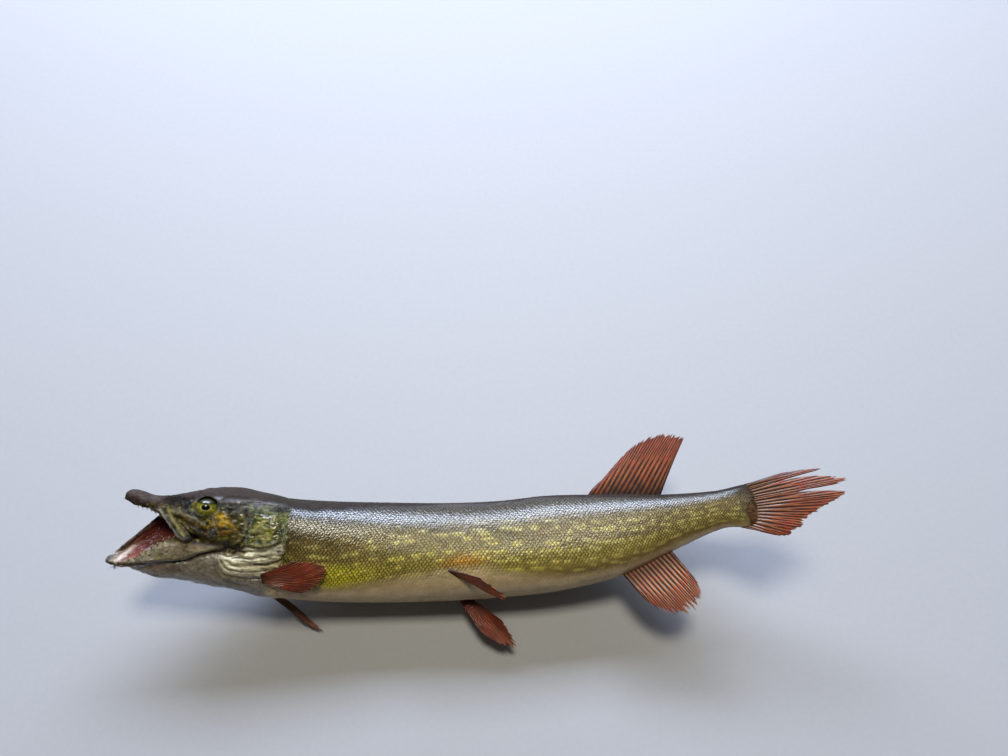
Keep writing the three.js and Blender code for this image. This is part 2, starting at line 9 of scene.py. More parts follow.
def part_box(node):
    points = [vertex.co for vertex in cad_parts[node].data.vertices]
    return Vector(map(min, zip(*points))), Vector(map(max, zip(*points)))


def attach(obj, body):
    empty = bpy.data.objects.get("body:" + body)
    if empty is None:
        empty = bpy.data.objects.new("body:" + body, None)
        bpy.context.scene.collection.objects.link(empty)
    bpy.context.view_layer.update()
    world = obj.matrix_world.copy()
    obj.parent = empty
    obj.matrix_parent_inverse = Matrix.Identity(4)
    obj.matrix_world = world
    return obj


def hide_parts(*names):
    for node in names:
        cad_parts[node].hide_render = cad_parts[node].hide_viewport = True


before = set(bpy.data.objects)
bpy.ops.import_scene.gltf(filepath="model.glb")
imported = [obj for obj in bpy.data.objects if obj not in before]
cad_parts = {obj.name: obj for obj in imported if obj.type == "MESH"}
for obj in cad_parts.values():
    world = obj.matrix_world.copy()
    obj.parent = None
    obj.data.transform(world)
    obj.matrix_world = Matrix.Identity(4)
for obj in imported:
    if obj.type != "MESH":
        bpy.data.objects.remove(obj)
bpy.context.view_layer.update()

# The pike is shaped straight, in millimetres: s runs from the snout to the tail, y to the back
# and z to the fish's left. carry() then bends it into its pose, and the scene is in metres.


def addObject(name, data):
    thing = bpy.data.objects.new(name, data)
    bpy.context.scene.collection.objects.link(thing)
    return thing


# camera and light
camera = {
    "place": (0.0282, -0.1248, 0.585),
    "lookDown": 65,   # degrees below level
    "tilt": 2,        # how far the picture is turned
    "lens": 27.04,
}


def addCamera(c):
    down = math.radians(c["lookDown"])
    tilt = math.radians(c["tilt"])
    ahead = Vector((0, math.cos(down), -math.sin(down)))
    levelUp = Vector((0, math.sin(down), math.cos(down)))
    levelRight = Vector((1, 0, 0))
    right = levelRight * math.cos(tilt) - levelUp * math.sin(tilt)
    up = levelUp * math.cos(tilt) + levelRight * math.sin(tilt)
    data = bpy.data.cameras.new("camera")
    data.lens = c["lens"]
    data.sensor_width = 36
    data.sensor_fit = "HORIZONTAL"
    data.clip_start = 0.01
    seen = addObject("camera", data)
    seen.matrix_world = Matrix((
        (right.x, up.x, -ahead.x, c["place"][0]),
        (right.y, up.y, -ahead.y, c["place"][1]),
        (right.z, up.z, -ahead.z, c["place"][2]),
        (0, 0, 0, 1),
    ))
    bpy.context.scene.camera = seen


addCamera(camera)

studio = {
    "sky": (1.0, 0.97, 0.93),
    "skyStrength": 0.07,
    # name: (place, looks at, width, height, watts, colour)
    "lamps": {
        "backWindow": ((-0.10, 2.46, 1.76), (0, 0, 0.03), 3.4, 0.80, 190, (0.68, 0.79, 1.0)),
        "backWall": ((0.0, 2.92, 0.84), (0, 0, 0.03), 5.5, 0.9, 34, (0.58, 0.72, 1.0)),
        "ceiling": ((0.10, 0.66, 2.42), (0, 0, 0.03), 0.70, 0.50, 33, (1.0, 0.96, 0.80)),
    },
}


def addStudio(c):
    world = bpy.data.worlds.new("studio")
    bpy.context.scene.world = world
    world.use_nodes = True
    sky = world.node_tree.nodes["Background"]
    sky.inputs["Color"].default_value = (*c["sky"], 1)
    sky.inputs["Strength"].default_value = c["skyStrength"]
    for name, (place, target, width, height, watts, colour) in c["lamps"].items():
        data = bpy.data.lights.new(name, "AREA")
        data.shape = "RECTANGLE"
        data.size = width
        data.size_y = height
        data.energy = watts
        data.color = colour
        lamp = addObject(name, data)
        lamp.location = place
        lamp.rotation_euler = (Vector(target) - Vector(place)).to_track_quat("-Z", "Y").to_euler()


addStudio(studio)
bpy.context.scene.view_settings.view_transform = "Standard"
print("camera and lights are up")


# curves and noise
def smooth(rows, at, column=1):
    # a soft curve through rows of [station, value, value, ...]
    rows = np.asarray(rows, float)
    x, v = rows[:, 0], rows[:, column]
    last = len(rows) - 1
    slope = np.array([
        (v[min(i + 1, last)] - v[max(i - 1, 0)]) / (x[min(i + 1, last)] - x[max(i - 1, 0)])
        for i in range(last + 1)
    ])
    at = np.clip(np.asarray(at, float), x[0], x[-1])
    k = np.clip(np.searchsorted(x, at, side="right") - 1, 0, last - 1)
    width = x[k + 1] - x[k]
    t = (at - x[k]) / width
    rise = t * t * (3 - 2 * t)
    bend = slope[k] * t * (1 - t) ** 2 - slope[k + 1] * t * t * (1 - t)
    return v[k] * (1 - rise) + v[k + 1] * rise + width * bend


def step(low, high, value):
    t = np.clip((value - low) / (high - low), 0, 1)
    return t * t * (3 - 2 * t)


noiseWay = np.array([12.9898, 78.233, 37.719])


def scatter(value):
    # an even spread from 0 to 1
    lot = np.sin(value) * 43758.5453
    return lot - np.floor(lot)


def noise(points, size, seed=0):
    # soft lattice noise from -1 to 1; size may be one number or one for each axis
    grid = points / np.asarray(size, float) + 17.31 * seed
    cell = np.floor(grid)
    part = grid - cell
    part = part * part * (3 - 2 * part)
    total = np.zeros(len(points))
    for corner in range(8):
        at = np.array([corner & 1, corner >> 1 & 1, corner >> 2], float)
        total += scatter((cell + at) @ noiseWay) * np.prod(np.where(at > 0, part, 1 - part), axis=1)
    return 2 * total - 1


def layered(points, size, seed=0, layers=3):
    return sum(noise(points, np.asarray(size) / 2 ** k, seed + k) / 2 ** k for k in range(layers)) / 1.6


def shifted(points, size, seed, amount):
    # s and y pushed about a little, so that lines and edges come out uneven
    return [points[:, k] + noise(points, size, seed + k) * amount for k in (0, 1)]


def tone(code):
    # a colour such as "7a5a30" as linear red, green and blue
    value = np.array([int(code[i:i + 2], 16) for i in (0, 2, 4)]) / 255
    return np.where(value <= 0.04045, value / 12.92, ((value + 0.055) / 1.055) ** 2.4)


def blendTo(base, colour, share):
    return base + (np.asarray(colour) - base) * np.asarray(share)[:, None]


# the pose
spine = {
    # s, rise above the floor, swing to the back, roll of the belly upwards, in degrees
    "angles": [
        [112, -16, -3.3, -25],
        [150, -8.8, -1.4, -13],
        [190, -2.6, -0.6, 0],
        [220, -0.2, 0.4, 6],
        [250, 1.2, 1.7, 8],
        [290, 5, 3.5, 5],
        [340, 13, 5.5, 0],
        [390, 22, 5, -4],
        [437, 28, 2.5, -5],
        [520, 31, 1, -5],
    ],
    "from": -30,
    "to": 530,
    "lowest": 220,       # where the spine comes nearest to the floor
    "restDepth": 26.2,   # and how high it is there
}
eyes = {"s": 48, "y": 25.4, "z": 8.7, "radius": 7.9}


def heading(s):
    rise, swing = (np.radians(smooth(spine["angles"], s, k)) for k in (1, 2))
    return np.stack([np.cos(rise) * np.cos(swing), np.cos(rise) * np.sin(swing), np.sin(rise)], -1)


def walkSpine(c):
    marks = np.arange(c["from"], c["to"] + 1.0)
    line = np.zeros((len(marks), 3))
    start = int(c["lowest"] - marks[0])
    line[start] = (0, 0, c["restDepth"])
    for i in range(start, len(marks) - 1):
        line[i + 1] = line[i] + heading(marks[i] + 0.5)
    for i in range(start, 0, -1):
        line[i - 1] = line[i] - heading(marks[i] - 0.5)
    return marks, line


spineMarks, spineLine = walkSpine(spine)


def bend(points):
    s, y, z = np.asarray(points, float).reshape(-1, 3).T
    rise, swing, roll = (np.radians(smooth(spine["angles"], s, k)) for k in (1, 2, 3))
    along = heading(s)
    up = np.stack([-np.sin(rise) * np.cos(swing), -np.sin(rise) * np.sin(swing), np.cos(rise)], -1)
    back = np.cross(up, along)
    roll = roll[:, None]
    dorsal = back * np.cos(roll) - up * np.sin(roll)
    left = up * np.cos(roll) + back * np.sin(roll)
    middle = np.stack([np.interp(s, spineMarks, spineLine[:, k]) for k in range(3)], -1)
    return middle + dorsal * y[:, None] + left * z[:, None]


# the frame's own eye says where the bent fish stands
eyeLow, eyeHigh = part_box("eye_left")
eyeSpot = np.array((eyeLow + eyeHigh) / 2)
shift = eyeSpot - bend([[eyes["s"], eyes["y"], eyes["z"]]])[0] / 1000
floorGap = 0.00004   # metres


def carry(points):
    placed = bend(points) / 1000 + shift
    placed[:, 2] = np.maximum(placed[:, 2], floorGap)   # nothing sinks into the floor
    return placed


# mesh helpers
def makeMesh(name, points, faces):
    mesh = bpy.data.meshes.new(name)
    faces = np.asarray(faces, np.int32)
    mesh.vertices.add(len(points))
    mesh.vertices.foreach_set("co", np.asarray(points, np.float32).ravel())
    mesh.loops.add(faces.size)
    mesh.loops.foreach_set("vertex_index", faces.ravel())
    mesh.polygons.add(len(faces))
    mesh.polygons.foreach_set("loop_start", np.arange(0, faces.size, faces.shape[1], dtype=np.int32))
    mesh.update(calc_edges=True)
    mesh.polygons.foreach_set("use_smooth", np.ones(len(faces), bool))
    return mesh


def addPiece(name, mesh, material, nodes=()):
    piece = addObject(name, mesh)
    mesh.materials.clear()
    mesh.materials.append(material)
    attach(piece, "root")
    if nodes:
        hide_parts(*nodes)
    return piece


def paintMesh(mesh, colours, gloss=None):
    # the tint is the colour, its fourth value is how wet the surface looks
    wet = np.ones(len(colours)) if gloss is None else gloss
    layer = mesh.color_attributes.new("tint", "FLOAT_COLOR", "POINT")
    layer.data.foreach_set("color", np.column_stack([np.clip(colours, 0, 1), wet]).astype(np.float32).ravel())


def gridFaces(rows, columns, closed=False, start=0):
    i, j = np.meshgrid(np.arange(rows - 1), np.arange(columns if closed else columns - 1), indexing="ij")
    after = (j + 1) % columns
    row, below = i * columns, (i + 1) * columns
    faces = np.stack([row + j, row + after, below + after, below + j], -1)
    return faces.reshape(-1, 4) + start


def roundAngles(count):
    return np.arange(count) / count * 2 * np.pi


def ringAt(middle, radius, angle):
    # a level ring of points
    return middle + radius * np.stack([np.cos(angle), 0 * angle, np.sin(angle)], -1)


def unit(ways, least=1e-9):
    return ways / np.maximum(np.linalg.norm(ways, axis=-1, keepdims=True), least)


def gridNormals(points):
    return unit(np.cross(np.gradient(points, axis=0), np.gradient(points, axis=1)))


def readMesh(mesh):
    points = np.empty(len(mesh.vertices) * 3, np.float32)
    mesh.vertices.foreach_get("co", points)
    normals = np.empty(len(mesh.vertices) * 3, np.float32)
    mesh.vertex_normals.foreach_get("vector", normals)
    return points.reshape(-1, 3).astype(float), normals.reshape(-1, 3).astype(float)


def writePoints(mesh, points):
    mesh.vertices.foreach_set("co", np.asarray(points, np.float32).ravel())
    mesh.update()


def relax(mesh, rounds, strength):
    # evens out a mesh; strength may differ from point to point
    edges = np.empty(len(mesh.edges) * 2, np.int32)
    mesh.edges.foreach_get("vertices", edges)
    a, b = edges.reshape(-1, 2).T
    points, _ = readMesh(mesh)
    count = np.bincount(np.concatenate([a, b]), minlength=len(points))
    for _ in range(rounds):
        mean = np.stack([
            np.bincount(a, points[b, k], len(points)) + np.bincount(b, points[a, k], len(points))
            for k in range(3)
        ], -1) / count[:, None]
        points += (mean - points) * np.reshape(strength, (-1, 1))
    writePoints(mesh, points)


def applyModifier(mesh, kind, **settings):
    worker = addObject("worker", mesh)
    modifier = worker.modifiers.new("work", kind)
    for key, value in settings.items():
        setattr(modifier, key, value)
    result = bpy.data.meshes.new_from_object(worker.evaluated_get(bpy.context.evaluated_depsgraph_get()))
    bpy.data.objects.remove(worker)
    return result


# the body's sections
trunk = {
    "halfDepth": 36.5,
    "halfWidth": 27,
    "start": 99,
    "end": 448,
    # s, top, bottom, half width, as shares of the half depth and half width
    "profile": [
        [99, 0.99, -0.96, 0.87],
        [116, 0.99, -0.97, 0.95],
        [145, 1.0, -0.98, 0.99],
        [180, 1.0, -0.98, 1.0],
        [220, 0.98, -0.98, 0.99],
        [260, 0.96, -0.98, 0.97],
        [300, 0.96, -0.96, 0.9],
        [345, 0.78, -0.84, 0.72],
        [385, 0.55, -0.55, 0.5],
        [420, 0.41, -0.34, 0.31],
        [437, 0.42, -0.4, 0.19],
        [444, 0.43, -0.41, 0.09],
        [449, 0.42, -0.40, 0.03],
    ],
    "inset": 0.55,   # the skin lies this far under the tips of the scales
}
skull = {
    # s, half width, top, widest level, lower edge, palate above the lower edge
    "profile": [
        [-6.6, 3.2, 30, 27.8, 25.4, 0.1],
        [-4.2, 5.4, 31.9, 27.9, 24.2, 0.3],
        [-1, 7, 32.4, 27.6, 22.8, 0.4],
        [4, 8.6, 31.4, 26.8, 21.6, 0.8],
        [10, 9.8, 29.4, 25.6, 20.6, 1.6],
        [18, 11, 29.6, 24, 17, 4],
        [30, 12.6, 32.6, 22, 10.5, 8],
        [42, 14.6, 36.2, 20, 4.5, 9],
        [54, 16.8, 39, 16, 1, 5],
        [68, 19.6, 40.4, 12, -1, 0.6],
        [80, 21.8, 38.8, 6, -4, 0],
        [94, 23.0, 37.0, 2.5, -7, 0],
        [104, 22.6, 35.0, 1, -9, 0],
    ],
}
throat = {
    "top": [[0, -17], [20, -9.4], [40, -2.8], [60, 1.4], [72, 2.5], [98, -2]],   # where it meets the jaw
    # s, half width, bottom
    "profile": [
        [0, 3, -20.9],
        [8, 6, -23.5],
        [20, 9, -26.6],
        [36, 12.4, -27.4],
        [52, 15.8, -29.6],
        [69, 19, -30.8],
        [85, 21.6, -33.2],
        [98.65, 23, -35.4],
    ],
}
jaw = {
    "length": 80,
    "tipS": -13.8,
    "tipY": -16.6,
    "drop": math.radians(9),
    "skew": math.radians(20),   # the dried jaw is warped, its right side stands higher
    # distance from the tip, half width, rim, underside, hollow below the rim
    "profile": [
        [0, 2.4, 0.7, -1.8, 0.2],
        [3, 4.6, 1, -3, 0.8],
        [8, 6.8, 1.1, -3.7, 1.4],
        [14, 8.6, 2.9, -3.8, 2.6],
        [22, 10.6, 6.6, -3.6, 4.4],
        [30, 12.2, 11.8, -3.4, 7],
        [38, 13.6, 16.3, -3, 9.6],
        [46, 14.8, 18.6, -3, 11],
        [58, 15.6, 16, -1, 7],
        [70, 16.4, 11.8, 2.8, 2],
        [80, 16.8, 8.6, 4.2, 0],
    ],
}


def trunkShape(s, grow=0.0):
    top = smooth(trunk["profile"], s, 1) * trunk["halfDepth"]
    bottom = smooth(trunk["profile"], s, 2) * trunk["halfDepth"]
    width = smooth(trunk["profile"], s, 3) * trunk["halfWidth"]
    return {"width": width + grow, "top": top + grow, "middle": (top + bottom) / 2,
            "bottom": bottom - grow, "squareTop": 2.25, "squareBottom": 2.3}


def skullShape(s, grow=0.0):
    width, top, middle, bottom, lift = (smooth(skull["profile"], s, k) for k in range(1, 6))
    return {"width": width + grow, "top": top + grow, "middle": middle, "bottom": bottom - grow,
            "squareTop": 2.6, "squareBottom": 3.2, "lift": lift, "hollow": 0.86}


def throatShape(s, grow=0.0):
    top = smooth(throat["top"], s)
    bottom = smooth(throat["profile"], s, 2) - grow
    return {"width": smooth(throat["profile"], s, 1) + grow, "top": top,
            "middle": top - 0.3 * (top - bottom), "bottom": bottom, "squareTop": 2.2, "squareBottom": 2.2}


def jawShape(u, grow=0.0):
    width, top, bottom, dip = (smooth(jaw["profile"], u, k) for k in range(1, 5))
    return {"width": width + grow, "top": top + grow, "middle": (top + bottom) / 2, "bottom": bottom - grow,
            "squareTop": 3.2, "squareBottom": 2.6, "dip": dip, "hollow": 0.88}


def tongueShape(u):
    floor = smooth(jaw["profile"], u, 2) - smooth(jaw["profile"], u, 4) + 0.4
    width = 3.4 * np.sqrt(np.maximum((u - 18) / 42, 0.05)) + 0.8
    return {"width": width, "top": floor + 2.6, "middle": floor + 1.4, "bottom": floor - 1,
            "squareTop": 2.3, "squareBottom": 2.3}


def carryJaw(points):
    u, y, z = points.T
    lean = y - z * np.tan(jaw["skew"] * (1 - np.minimum(u / jaw["length"], 1) ** 2))
    s = jaw["tipS"] + u * np.cos(jaw["drop"]) - lean * np.sin(jaw["drop"])
    return np.column_stack([s, jaw["tipY"] + u * np.sin(jaw["drop"]) + lean * np.cos(jaw["drop"]), z])


def section(shape, angle):
    # outline in y and z; angle 0 is the back and a quarter turn the fish's left
    full = {"dip": 0.0, "lift": 0.0, "hollow": 0.8, **shape}
    part = {key: np.reshape(value, (-1, 1)) for key, value in full.items()}
    across, upright = np.sin(angle)[None, :], np.cos(angle)[None, :]
    power = np.where(upright > 0, 2 / part["squareTop"], 2 / part["squareBottom"])
    z = part["width"] * np.sign(across) * np.abs(across) ** power
    reach = np.where(upright > 0, part["top"] - part["middle"], part["middle"] - part["bottom"])
    y = part["middle"] + np.sign(upright) * reach * np.abs(upright) ** power
    share = np.minimum(np.abs(z) / (part["width"] * part["hollow"]), 1)
    cup = (1 - share ** 2) ** 2
    return y + np.where(upright > 0, -part["dip"], part["lift"]) * cup, z


def sideAt(shape, y):
    # half width of a section at height y
    upper = y > shape["middle"]
    square = np.where(upper, shape["squareTop"], shape["squareBottom"])
    reach = np.where(upper, shape["top"] - shape["middle"], shape["middle"] - shape["bottom"])
    share = np.minimum(np.abs(y - shape["middle"]) / reach, 1)
    return shape["width"] * (1 - share ** square) ** (1 / square)


def closedLoft(stations, shape, around=110):
    # a closed tube of quads; its ends are pulled together to a point
    angle = roundAngles(around)
    y, z = section(shape, angle)
    points = np.stack([np.repeat(stations[:, None], around, 1), y, z], -1)
    ends = [np.repeat(ring.mean(0)[None], around, 0)[None] for ring in (points[0], points[-1])]
    points = np.concatenate([ends[0], points, ends[1]])
    return points.reshape(-1, 3), gridFaces(len(points), around, closed=True)


def closedShell(outer, inner):
    # two grids of points joined round their rim
    rows, columns = outer.shape[:2]
    ring = np.concatenate([outer, inner[:, ::-1]], axis=1)
    points = np.concatenate([ring[:1], ring, ring[-1:]])
    for end, row in ((0, 0), (-1, -1)):
        middle = (outer[row] + inner[row]) / 2
        points[end] = np.concatenate([middle, middle[::-1]])
    return points.reshape(-1, 3), gridFaces(rows + 2, 2 * columns, closed=True)


# bones and plates of the head
lipBone = {
    "top": (19, 23.4),     # s and y where the bone leaves the snout
    "foot": (39.2, 3.6),
    "widthTop": 3.8,
    "widthFoot": 8.0,
    "outTop": 12.2,
    "outGain": 4.0,
    "dome": 0.8,
}
gillCover = {
    "front": 76,
    "frontBow": 3,
    "rear": 104.5,
    "rearBow": 8,
    "middle": 11.5,
    "half": 17.5,
}


def lipBoneShell(c, side):
    t = np.linspace(0, 1, 40)[:, None]
    w = np.linspace(-0.5, 0.5, 20)[None, :]
    alongS, alongY = c["foot"][0] - c["top"][0], c["foot"][1] - c["top"][1]
    length = math.hypot(alongS, alongY)
    width = c["widthTop"] + (c["widthFoot"] - c["widthTop"]) * t ** 0.8
    width = width * np.sqrt(1 - (2 * np.maximum(t - 0.5, 0)) ** 4 * 0.5)
    s = c["top"][0] + alongS * t - w * width * alongY / length
    y = c["top"][1] + alongY * t + w * width * alongS / length
    out = c["outTop"] + c["outGain"] * t + c["dome"] * (1 - 4 * w * w)
    outer = np.stack([s, y, side * (out + 0.5)], -1)
    inner = np.stack([s, y, side * (out - 1.6)], -1)
    return closedShell(outer, inner)


def gillCoverShell(c, side):
    v = np.linspace(-1, 1, 60)[:, None]
    t = np.linspace(0, 1, 50)[None, :]
    uneven = 0.8 * np.sin(v * 9 + 1) + 0.5 * np.sin(v * 23)
    rear = c["rear"] - c["rearBow"] * np.abs(v) ** 2.6 + uneven
    front = c["front"] + c["frontBow"] * (1 - v * v)
    s = front + (rear - front) * t
    y = c["middle"] + c["half"] * v + 0 * t
    level = np.maximum(y, 2)
    head = sideAt(skullShape(np.minimum(s, 98.6)), level)
    body = np.where(s > 94.6, np.maximum(head, sideAt(trunkShape(s), level)), head)
    dome = 1.2 * (1 - v ** 4) * np.sin(np.pi * np.minimum(t * 0.6 + 0.15, 1))
    proud = 0.15 + 1.5 * step(0.0, 0.45, t) - 0.7 * step(0.7, 1.0, t)
    outer = np.stack([s, y, side * (body + proud + dome * step(0, 0.3, t))], -1)
    inner = np.stack([s, y, side * (body - 3 + 0 * t)], -1)
    return closedShell(outer, inner)


def mouthCurtainShell():
    # skin drawn from the far rim of the jaw up to the snout
    t = np.linspace(0, 1, 60)
    u = 4 + 38 * t
    rim = jawShape(u)
    low = carryJaw(np.column_stack([u, rim["top"] - 2.5, 0.4 - rim["width"]]))
    high = np.column_stack([-10 + 28 * t, -12.8 + 30.8 * t, -(5.4 + 5.6 * t)])
    v = np.linspace(-0.05, 1, 40)[None, :, None]
    middle = low[:, None] * (1 - v) + high[:, None] * v
    depth = 0.62 * gridNormals(middle)
    return closedShell(middle + depth, middle - depth)


# the skin, still straight
skin = {
    "voxel": 0.66,        # fineness of the first mesh, mm
    "coarseVoxel": 1.3,
    "triangles": 186000,
    "relaxRounds": 4,
    "relaxStrength": 0.5,
}


def joinParts(parts):
    points, faces, start = [], [], 0
    for p, f in parts:
        points.append(p)
        faces.append(f + start)
        start += len(p)
    return makeMesh("parts", np.concatenate(points), np.concatenate(faces))


def straightSkin(c):
    s = np.linspace(trunk["start"] - 4, trunk["end"], 240)
    along = np.linspace(-6.6, 106, 118)
    below = np.linspace(1, 102, 90)
    u = np.linspace(0, jaw["length"], 90)
    tongue = np.linspace(20, 66, 50)
    jawPoints, jawFaces = closedLoft(u, jawShape(u, -0.1))
    tonguePoints, tongueFaces = closedLoft(tongue, tongueShape(tongue))
    parts = [
        closedLoft(s, trunkShape(s, -trunk["inset"])),
        closedLoft(along, skullShape(along, -0.15)),
        closedLoft(below, throatShape(below, -0.3)),
        (carryJaw(jawPoints), jawFaces),
        (carryJaw(tonguePoints), tongueFaces),
        mouthCurtainShell(),
    ]
    parts += [lipBoneShell(lipBone, side) for side in (1, -1)]
    parts += [eyeMound(side) for side in (1, -1)]
    parts += [gillCoverShell(gillCover, side) for side in (1, -1)]
    voxel = c["voxel"]
    mesh = applyModifier(joinParts(parts), "REMESH", mode="VOXEL", voxel_size=voxel)
    relax(mesh, c["relaxRounds"], c["relaxStrength"])
    print("skin remeshed:", len(mesh.polygons), "faces")
    return mesh


# the lines of the head
headLines = {
    # name: (height, half width, points as s and y); a groove has a height below zero
    "cheekRidge": (0.75, 1.5, [(22.9, 23.0), (31.3, 21.2), (39.9, 18.4), (46.7, 16.6), (51, 15.6)]),
    "cheekGroove": (-0.7, 1.0, [(22.4, 20.6), (30.6, 18.4), (38.6, 15.4), (46, 13.7), (51, 13.4)]),
    "lipFront": (0.4, 0.7, [(15.6, 22.6), (18.4, 20.0), (22.6, 15.4), (28.1, 9.0), (32.7, 4.6)]),
    "lipRear": (-1.0, 0.9, [(21, 24.2), (24.6, 21), (28.6, 17.4), (35.4, 11), (42.4, 4.4), (45, 1.6)]),
    "lipRearEdge": (0.5, 0.7, [(30.6, 17.6), (36.8, 12), (41.6, 7.2), (46.3, 2.8)]),
    "lipMiddle": (-0.35, 0.9, [(24.2, 18), (29, 13.2), (34.6, 7.8), (39.4, 3.4)]),
    "browRidge": (0.5, 1.3, [(38, 35.2), (44, 38.4), (51, 39.4), (58, 38)]),
    "browGroove": (-0.5, 1.2, [(17.5, 28.4), (24.6, 30.5), (29.4, 30.9), (36.1, 30.8), (40, 33.0)]),
    "wetGroove": (-0.55, 0.9, [(20.4, 25.2), (28.5, 27.6), (35.2, 26.4), (40.2, 25.8)]),
    "templeRidge": (0.9, 1.4, [(65.0, 24.2), (70.4, 28.0), (74.5, 29.8), (82.8, 30.6), (90.7, 29.6),
                               (97, 25.4)]),
    "templeGroove": (-0.8, 1.3, [(58, 26.5), (64, 27.6), (69, 30.6), (75, 32.6), (84, 33.2), (92, 32)]),
    "domeEdge": (-0.5, 1.0, [(55.8, 28.1), (57.8, 32.2), (61.8, 34.9), (69.5, 35.6), (77, 35.4)]),
    "cheekRear": (-0.9, 0.9, [(73.9, 28), (77.2, 21.4), (77.6, 14.3), (74.9, 6.9), (69.8, 2.2)]),
    "cheekRearEdge": (0.5, 0.9, [(71.9, 26.4), (75.0, 20.6), (75.5, 14.3), (72.8, 7.4), (68.2, 3.8)]),
    "coverLine": (-0.8, 0.9, [(78.2, 4.2), (85.0, 3.7), (93.3, 5.5), (100.4, 9.6)]),
    "coverLineEdge": (0.6, 1.1, [(79.2, 6.4), (85.4, 6.0), (93.0, 7.8), (99.4, 11.6)]),
    "jawLine": (-1.3, 0.9, [(-9, -19.8), (0, -18), (7.7, -16.8), (13.9, -15.7), (21.9, -13.8), (29.2, -12.7),
                            (34.8, -11.9), (42, -9.7), (47.4, -6.4), (55.2, -3.1), (62.4, -2.7), (66.4, -4.7),
                            (70.8, -2.7), (75.5, 1.2)]),
    "jawLineEdge": (0.6, 1.4, [(5.3, -14.8), (16.3, -12.6), (27.3, -10.2), (36.6, -8.6), (47.7, -3.4),
                               (56, -0.2), (62.8, 0.4), (67, -1.2)]),
    "jawFold": (-0.5, 1.0, [(40, 2.2), (48.8, 1.2), (55.5, 1.8), (61.9, 3.4), (68, 4.6)]),
    "foldOne": (-0.8, 0.8, [(68, -2.6), (74.7, -0.8), (82.5, 1.5), (94.0, 3.4)]),
    "foldTwo": (-0.9, 0.8, [(67.5, -5.6), (76.6, -4.3), (86.4, -2.4), (97.9, 1.0)]),
    "foldThree": (-1.0, 0.9, [(65.5, -6.1), (69.8, -9.7), (79.0, -9.2), (88.8, -7.4), (99.7, -4.2)]),
    "foldFour": (-1.0, 0.9, [(61.7, -6.7), (66.3, -12.9), (75.3, -14.0), (86.9, -12.7), (96.2, -10.0)]),
    "foldFive": (-0.9, 0.9, [(58.9, -8.0), (63.2, -15.6), (71.5, -18.5), (85.0, -18.0), (94, -16)]),
    "foldSix": (-0.6, 1.0, [(55.9, -5.3), (58.5, -12.2), (62.9, -19.0), (71.4, -23.0), (84, -24)]),
    "foldSeven": (-0.4, 1.1, [(50, -8), (53, -15), (58, -22), (66, -27)]),
}
pits = {
    # name: (s, y, radius, depth)
    "nostrilFront": (32.3, 30.0, 1.1, 1.6),
    "nostrilRear": (36.6, 28.6, 1.4, 1.8),
    "cheekPore": (50.2, 15.8, 1.2, 1.6),
    "snoutPore": (25.6, 28.4, 0.8, 1.0),
    "browPore": (41.6, 35.4, 0.7, 0.8),
    "jawPore": (39, -1.5, 0.7, 0.7),
    "jawPoreTwo": (27, -5.6, 0.7, 0.7),
    "jawPoreThree": (15.5, -9.4, 0.6, 0.6),
    "coverPore": (81.6, 12.4, 1.4, 0.7),
}
orbit = {"s": 48.3, "y": 28.1, "halfLength": 6.9, "halfHeight": 5.9, "lid": 0.40, "sink": 0.9}
mound = {"centre": (48.2, 28.6, 6.9), "radius": (9.4, 8.7, 8.0)}
crumples = {
    # heights in mm of the dried skin's unevenness, everywhere and more in some places
    "coarse": 0.12, "coarseLow": 0.22, "coarseInside": 0.10, "coarseCheek": 0.22,
    "fine": 0.08, "fineCheek": 0.46,
    "ridges": 0.28,
    "sagging": 0.7,
    "lowest": -1.9, "highest": 1.3,
}


def aroundOrbit(s, y):
    # 1 on the rim of the eye's opening
    return np.hypot((s - orbit["s"]) / orbit["halfLength"], (y - orbit["y"]) / orbit["halfHeight"])


def softLine(points, fine=10):
    points = np.asarray(points, float)
    padded = np.vstack([2 * points[0] - points[1], points, 2 * points[-1] - points[-2]])
    t = np.linspace(0, 1, fine, endpoint=False)[:, None]
    pieces = []
    for a, b, c, d in zip(padded, padded[1:], padded[2:], padded[3:]):
        pieces.append(0.5 * (2 * b + (c - a) * t + (2 * a - 5 * b + 4 * c - d) * t ** 2
                             + (3 * b - a - 3 * c + d) * t ** 3))
    return np.vstack(pieces + [points[-1:]])


def nearLine(line, s, y, reach):
    # distance to a line drawn on the side of the head, and how far along it the nearest point is
    line = softLine(line)
    distance = np.full(len(s), 99.0)
    along = np.zeros(len(s))
    low, high = line.min(0) - reach, line.max(0) + reach
    close = np.flatnonzero((s > low[0]) & (s < high[0]) & (y > low[1]) & (y < high[1]))
    spot = np.column_stack([s[close], y[close]])
    best = np.full(len(close), 99.0)
    place = np.zeros(len(close))
    for k, (a, b) in enumerate(zip(line, line[1:])):
        t = np.clip((spot - a) @ (b - a) / max((b - a) @ (b - a), 1e-9), 0, 1)
        gap = np.linalg.norm(spot - a - t[:, None] * (b - a), axis=1)
        nearer = gap < best
        best[nearer] = gap[nearer]
        place[nearer] = (k + t[nearer]) / (len(line) - 1)
    distance[close] = best
    along[close] = place
    return distance, along


def lineMask(line, s, y, width, fade=0.08):
    distance, along = nearLine(line, s, y, 4 * width)
    return np.exp(-(distance / width) ** 2) * step(0, fade, along) * step(0, fade, 1 - along)


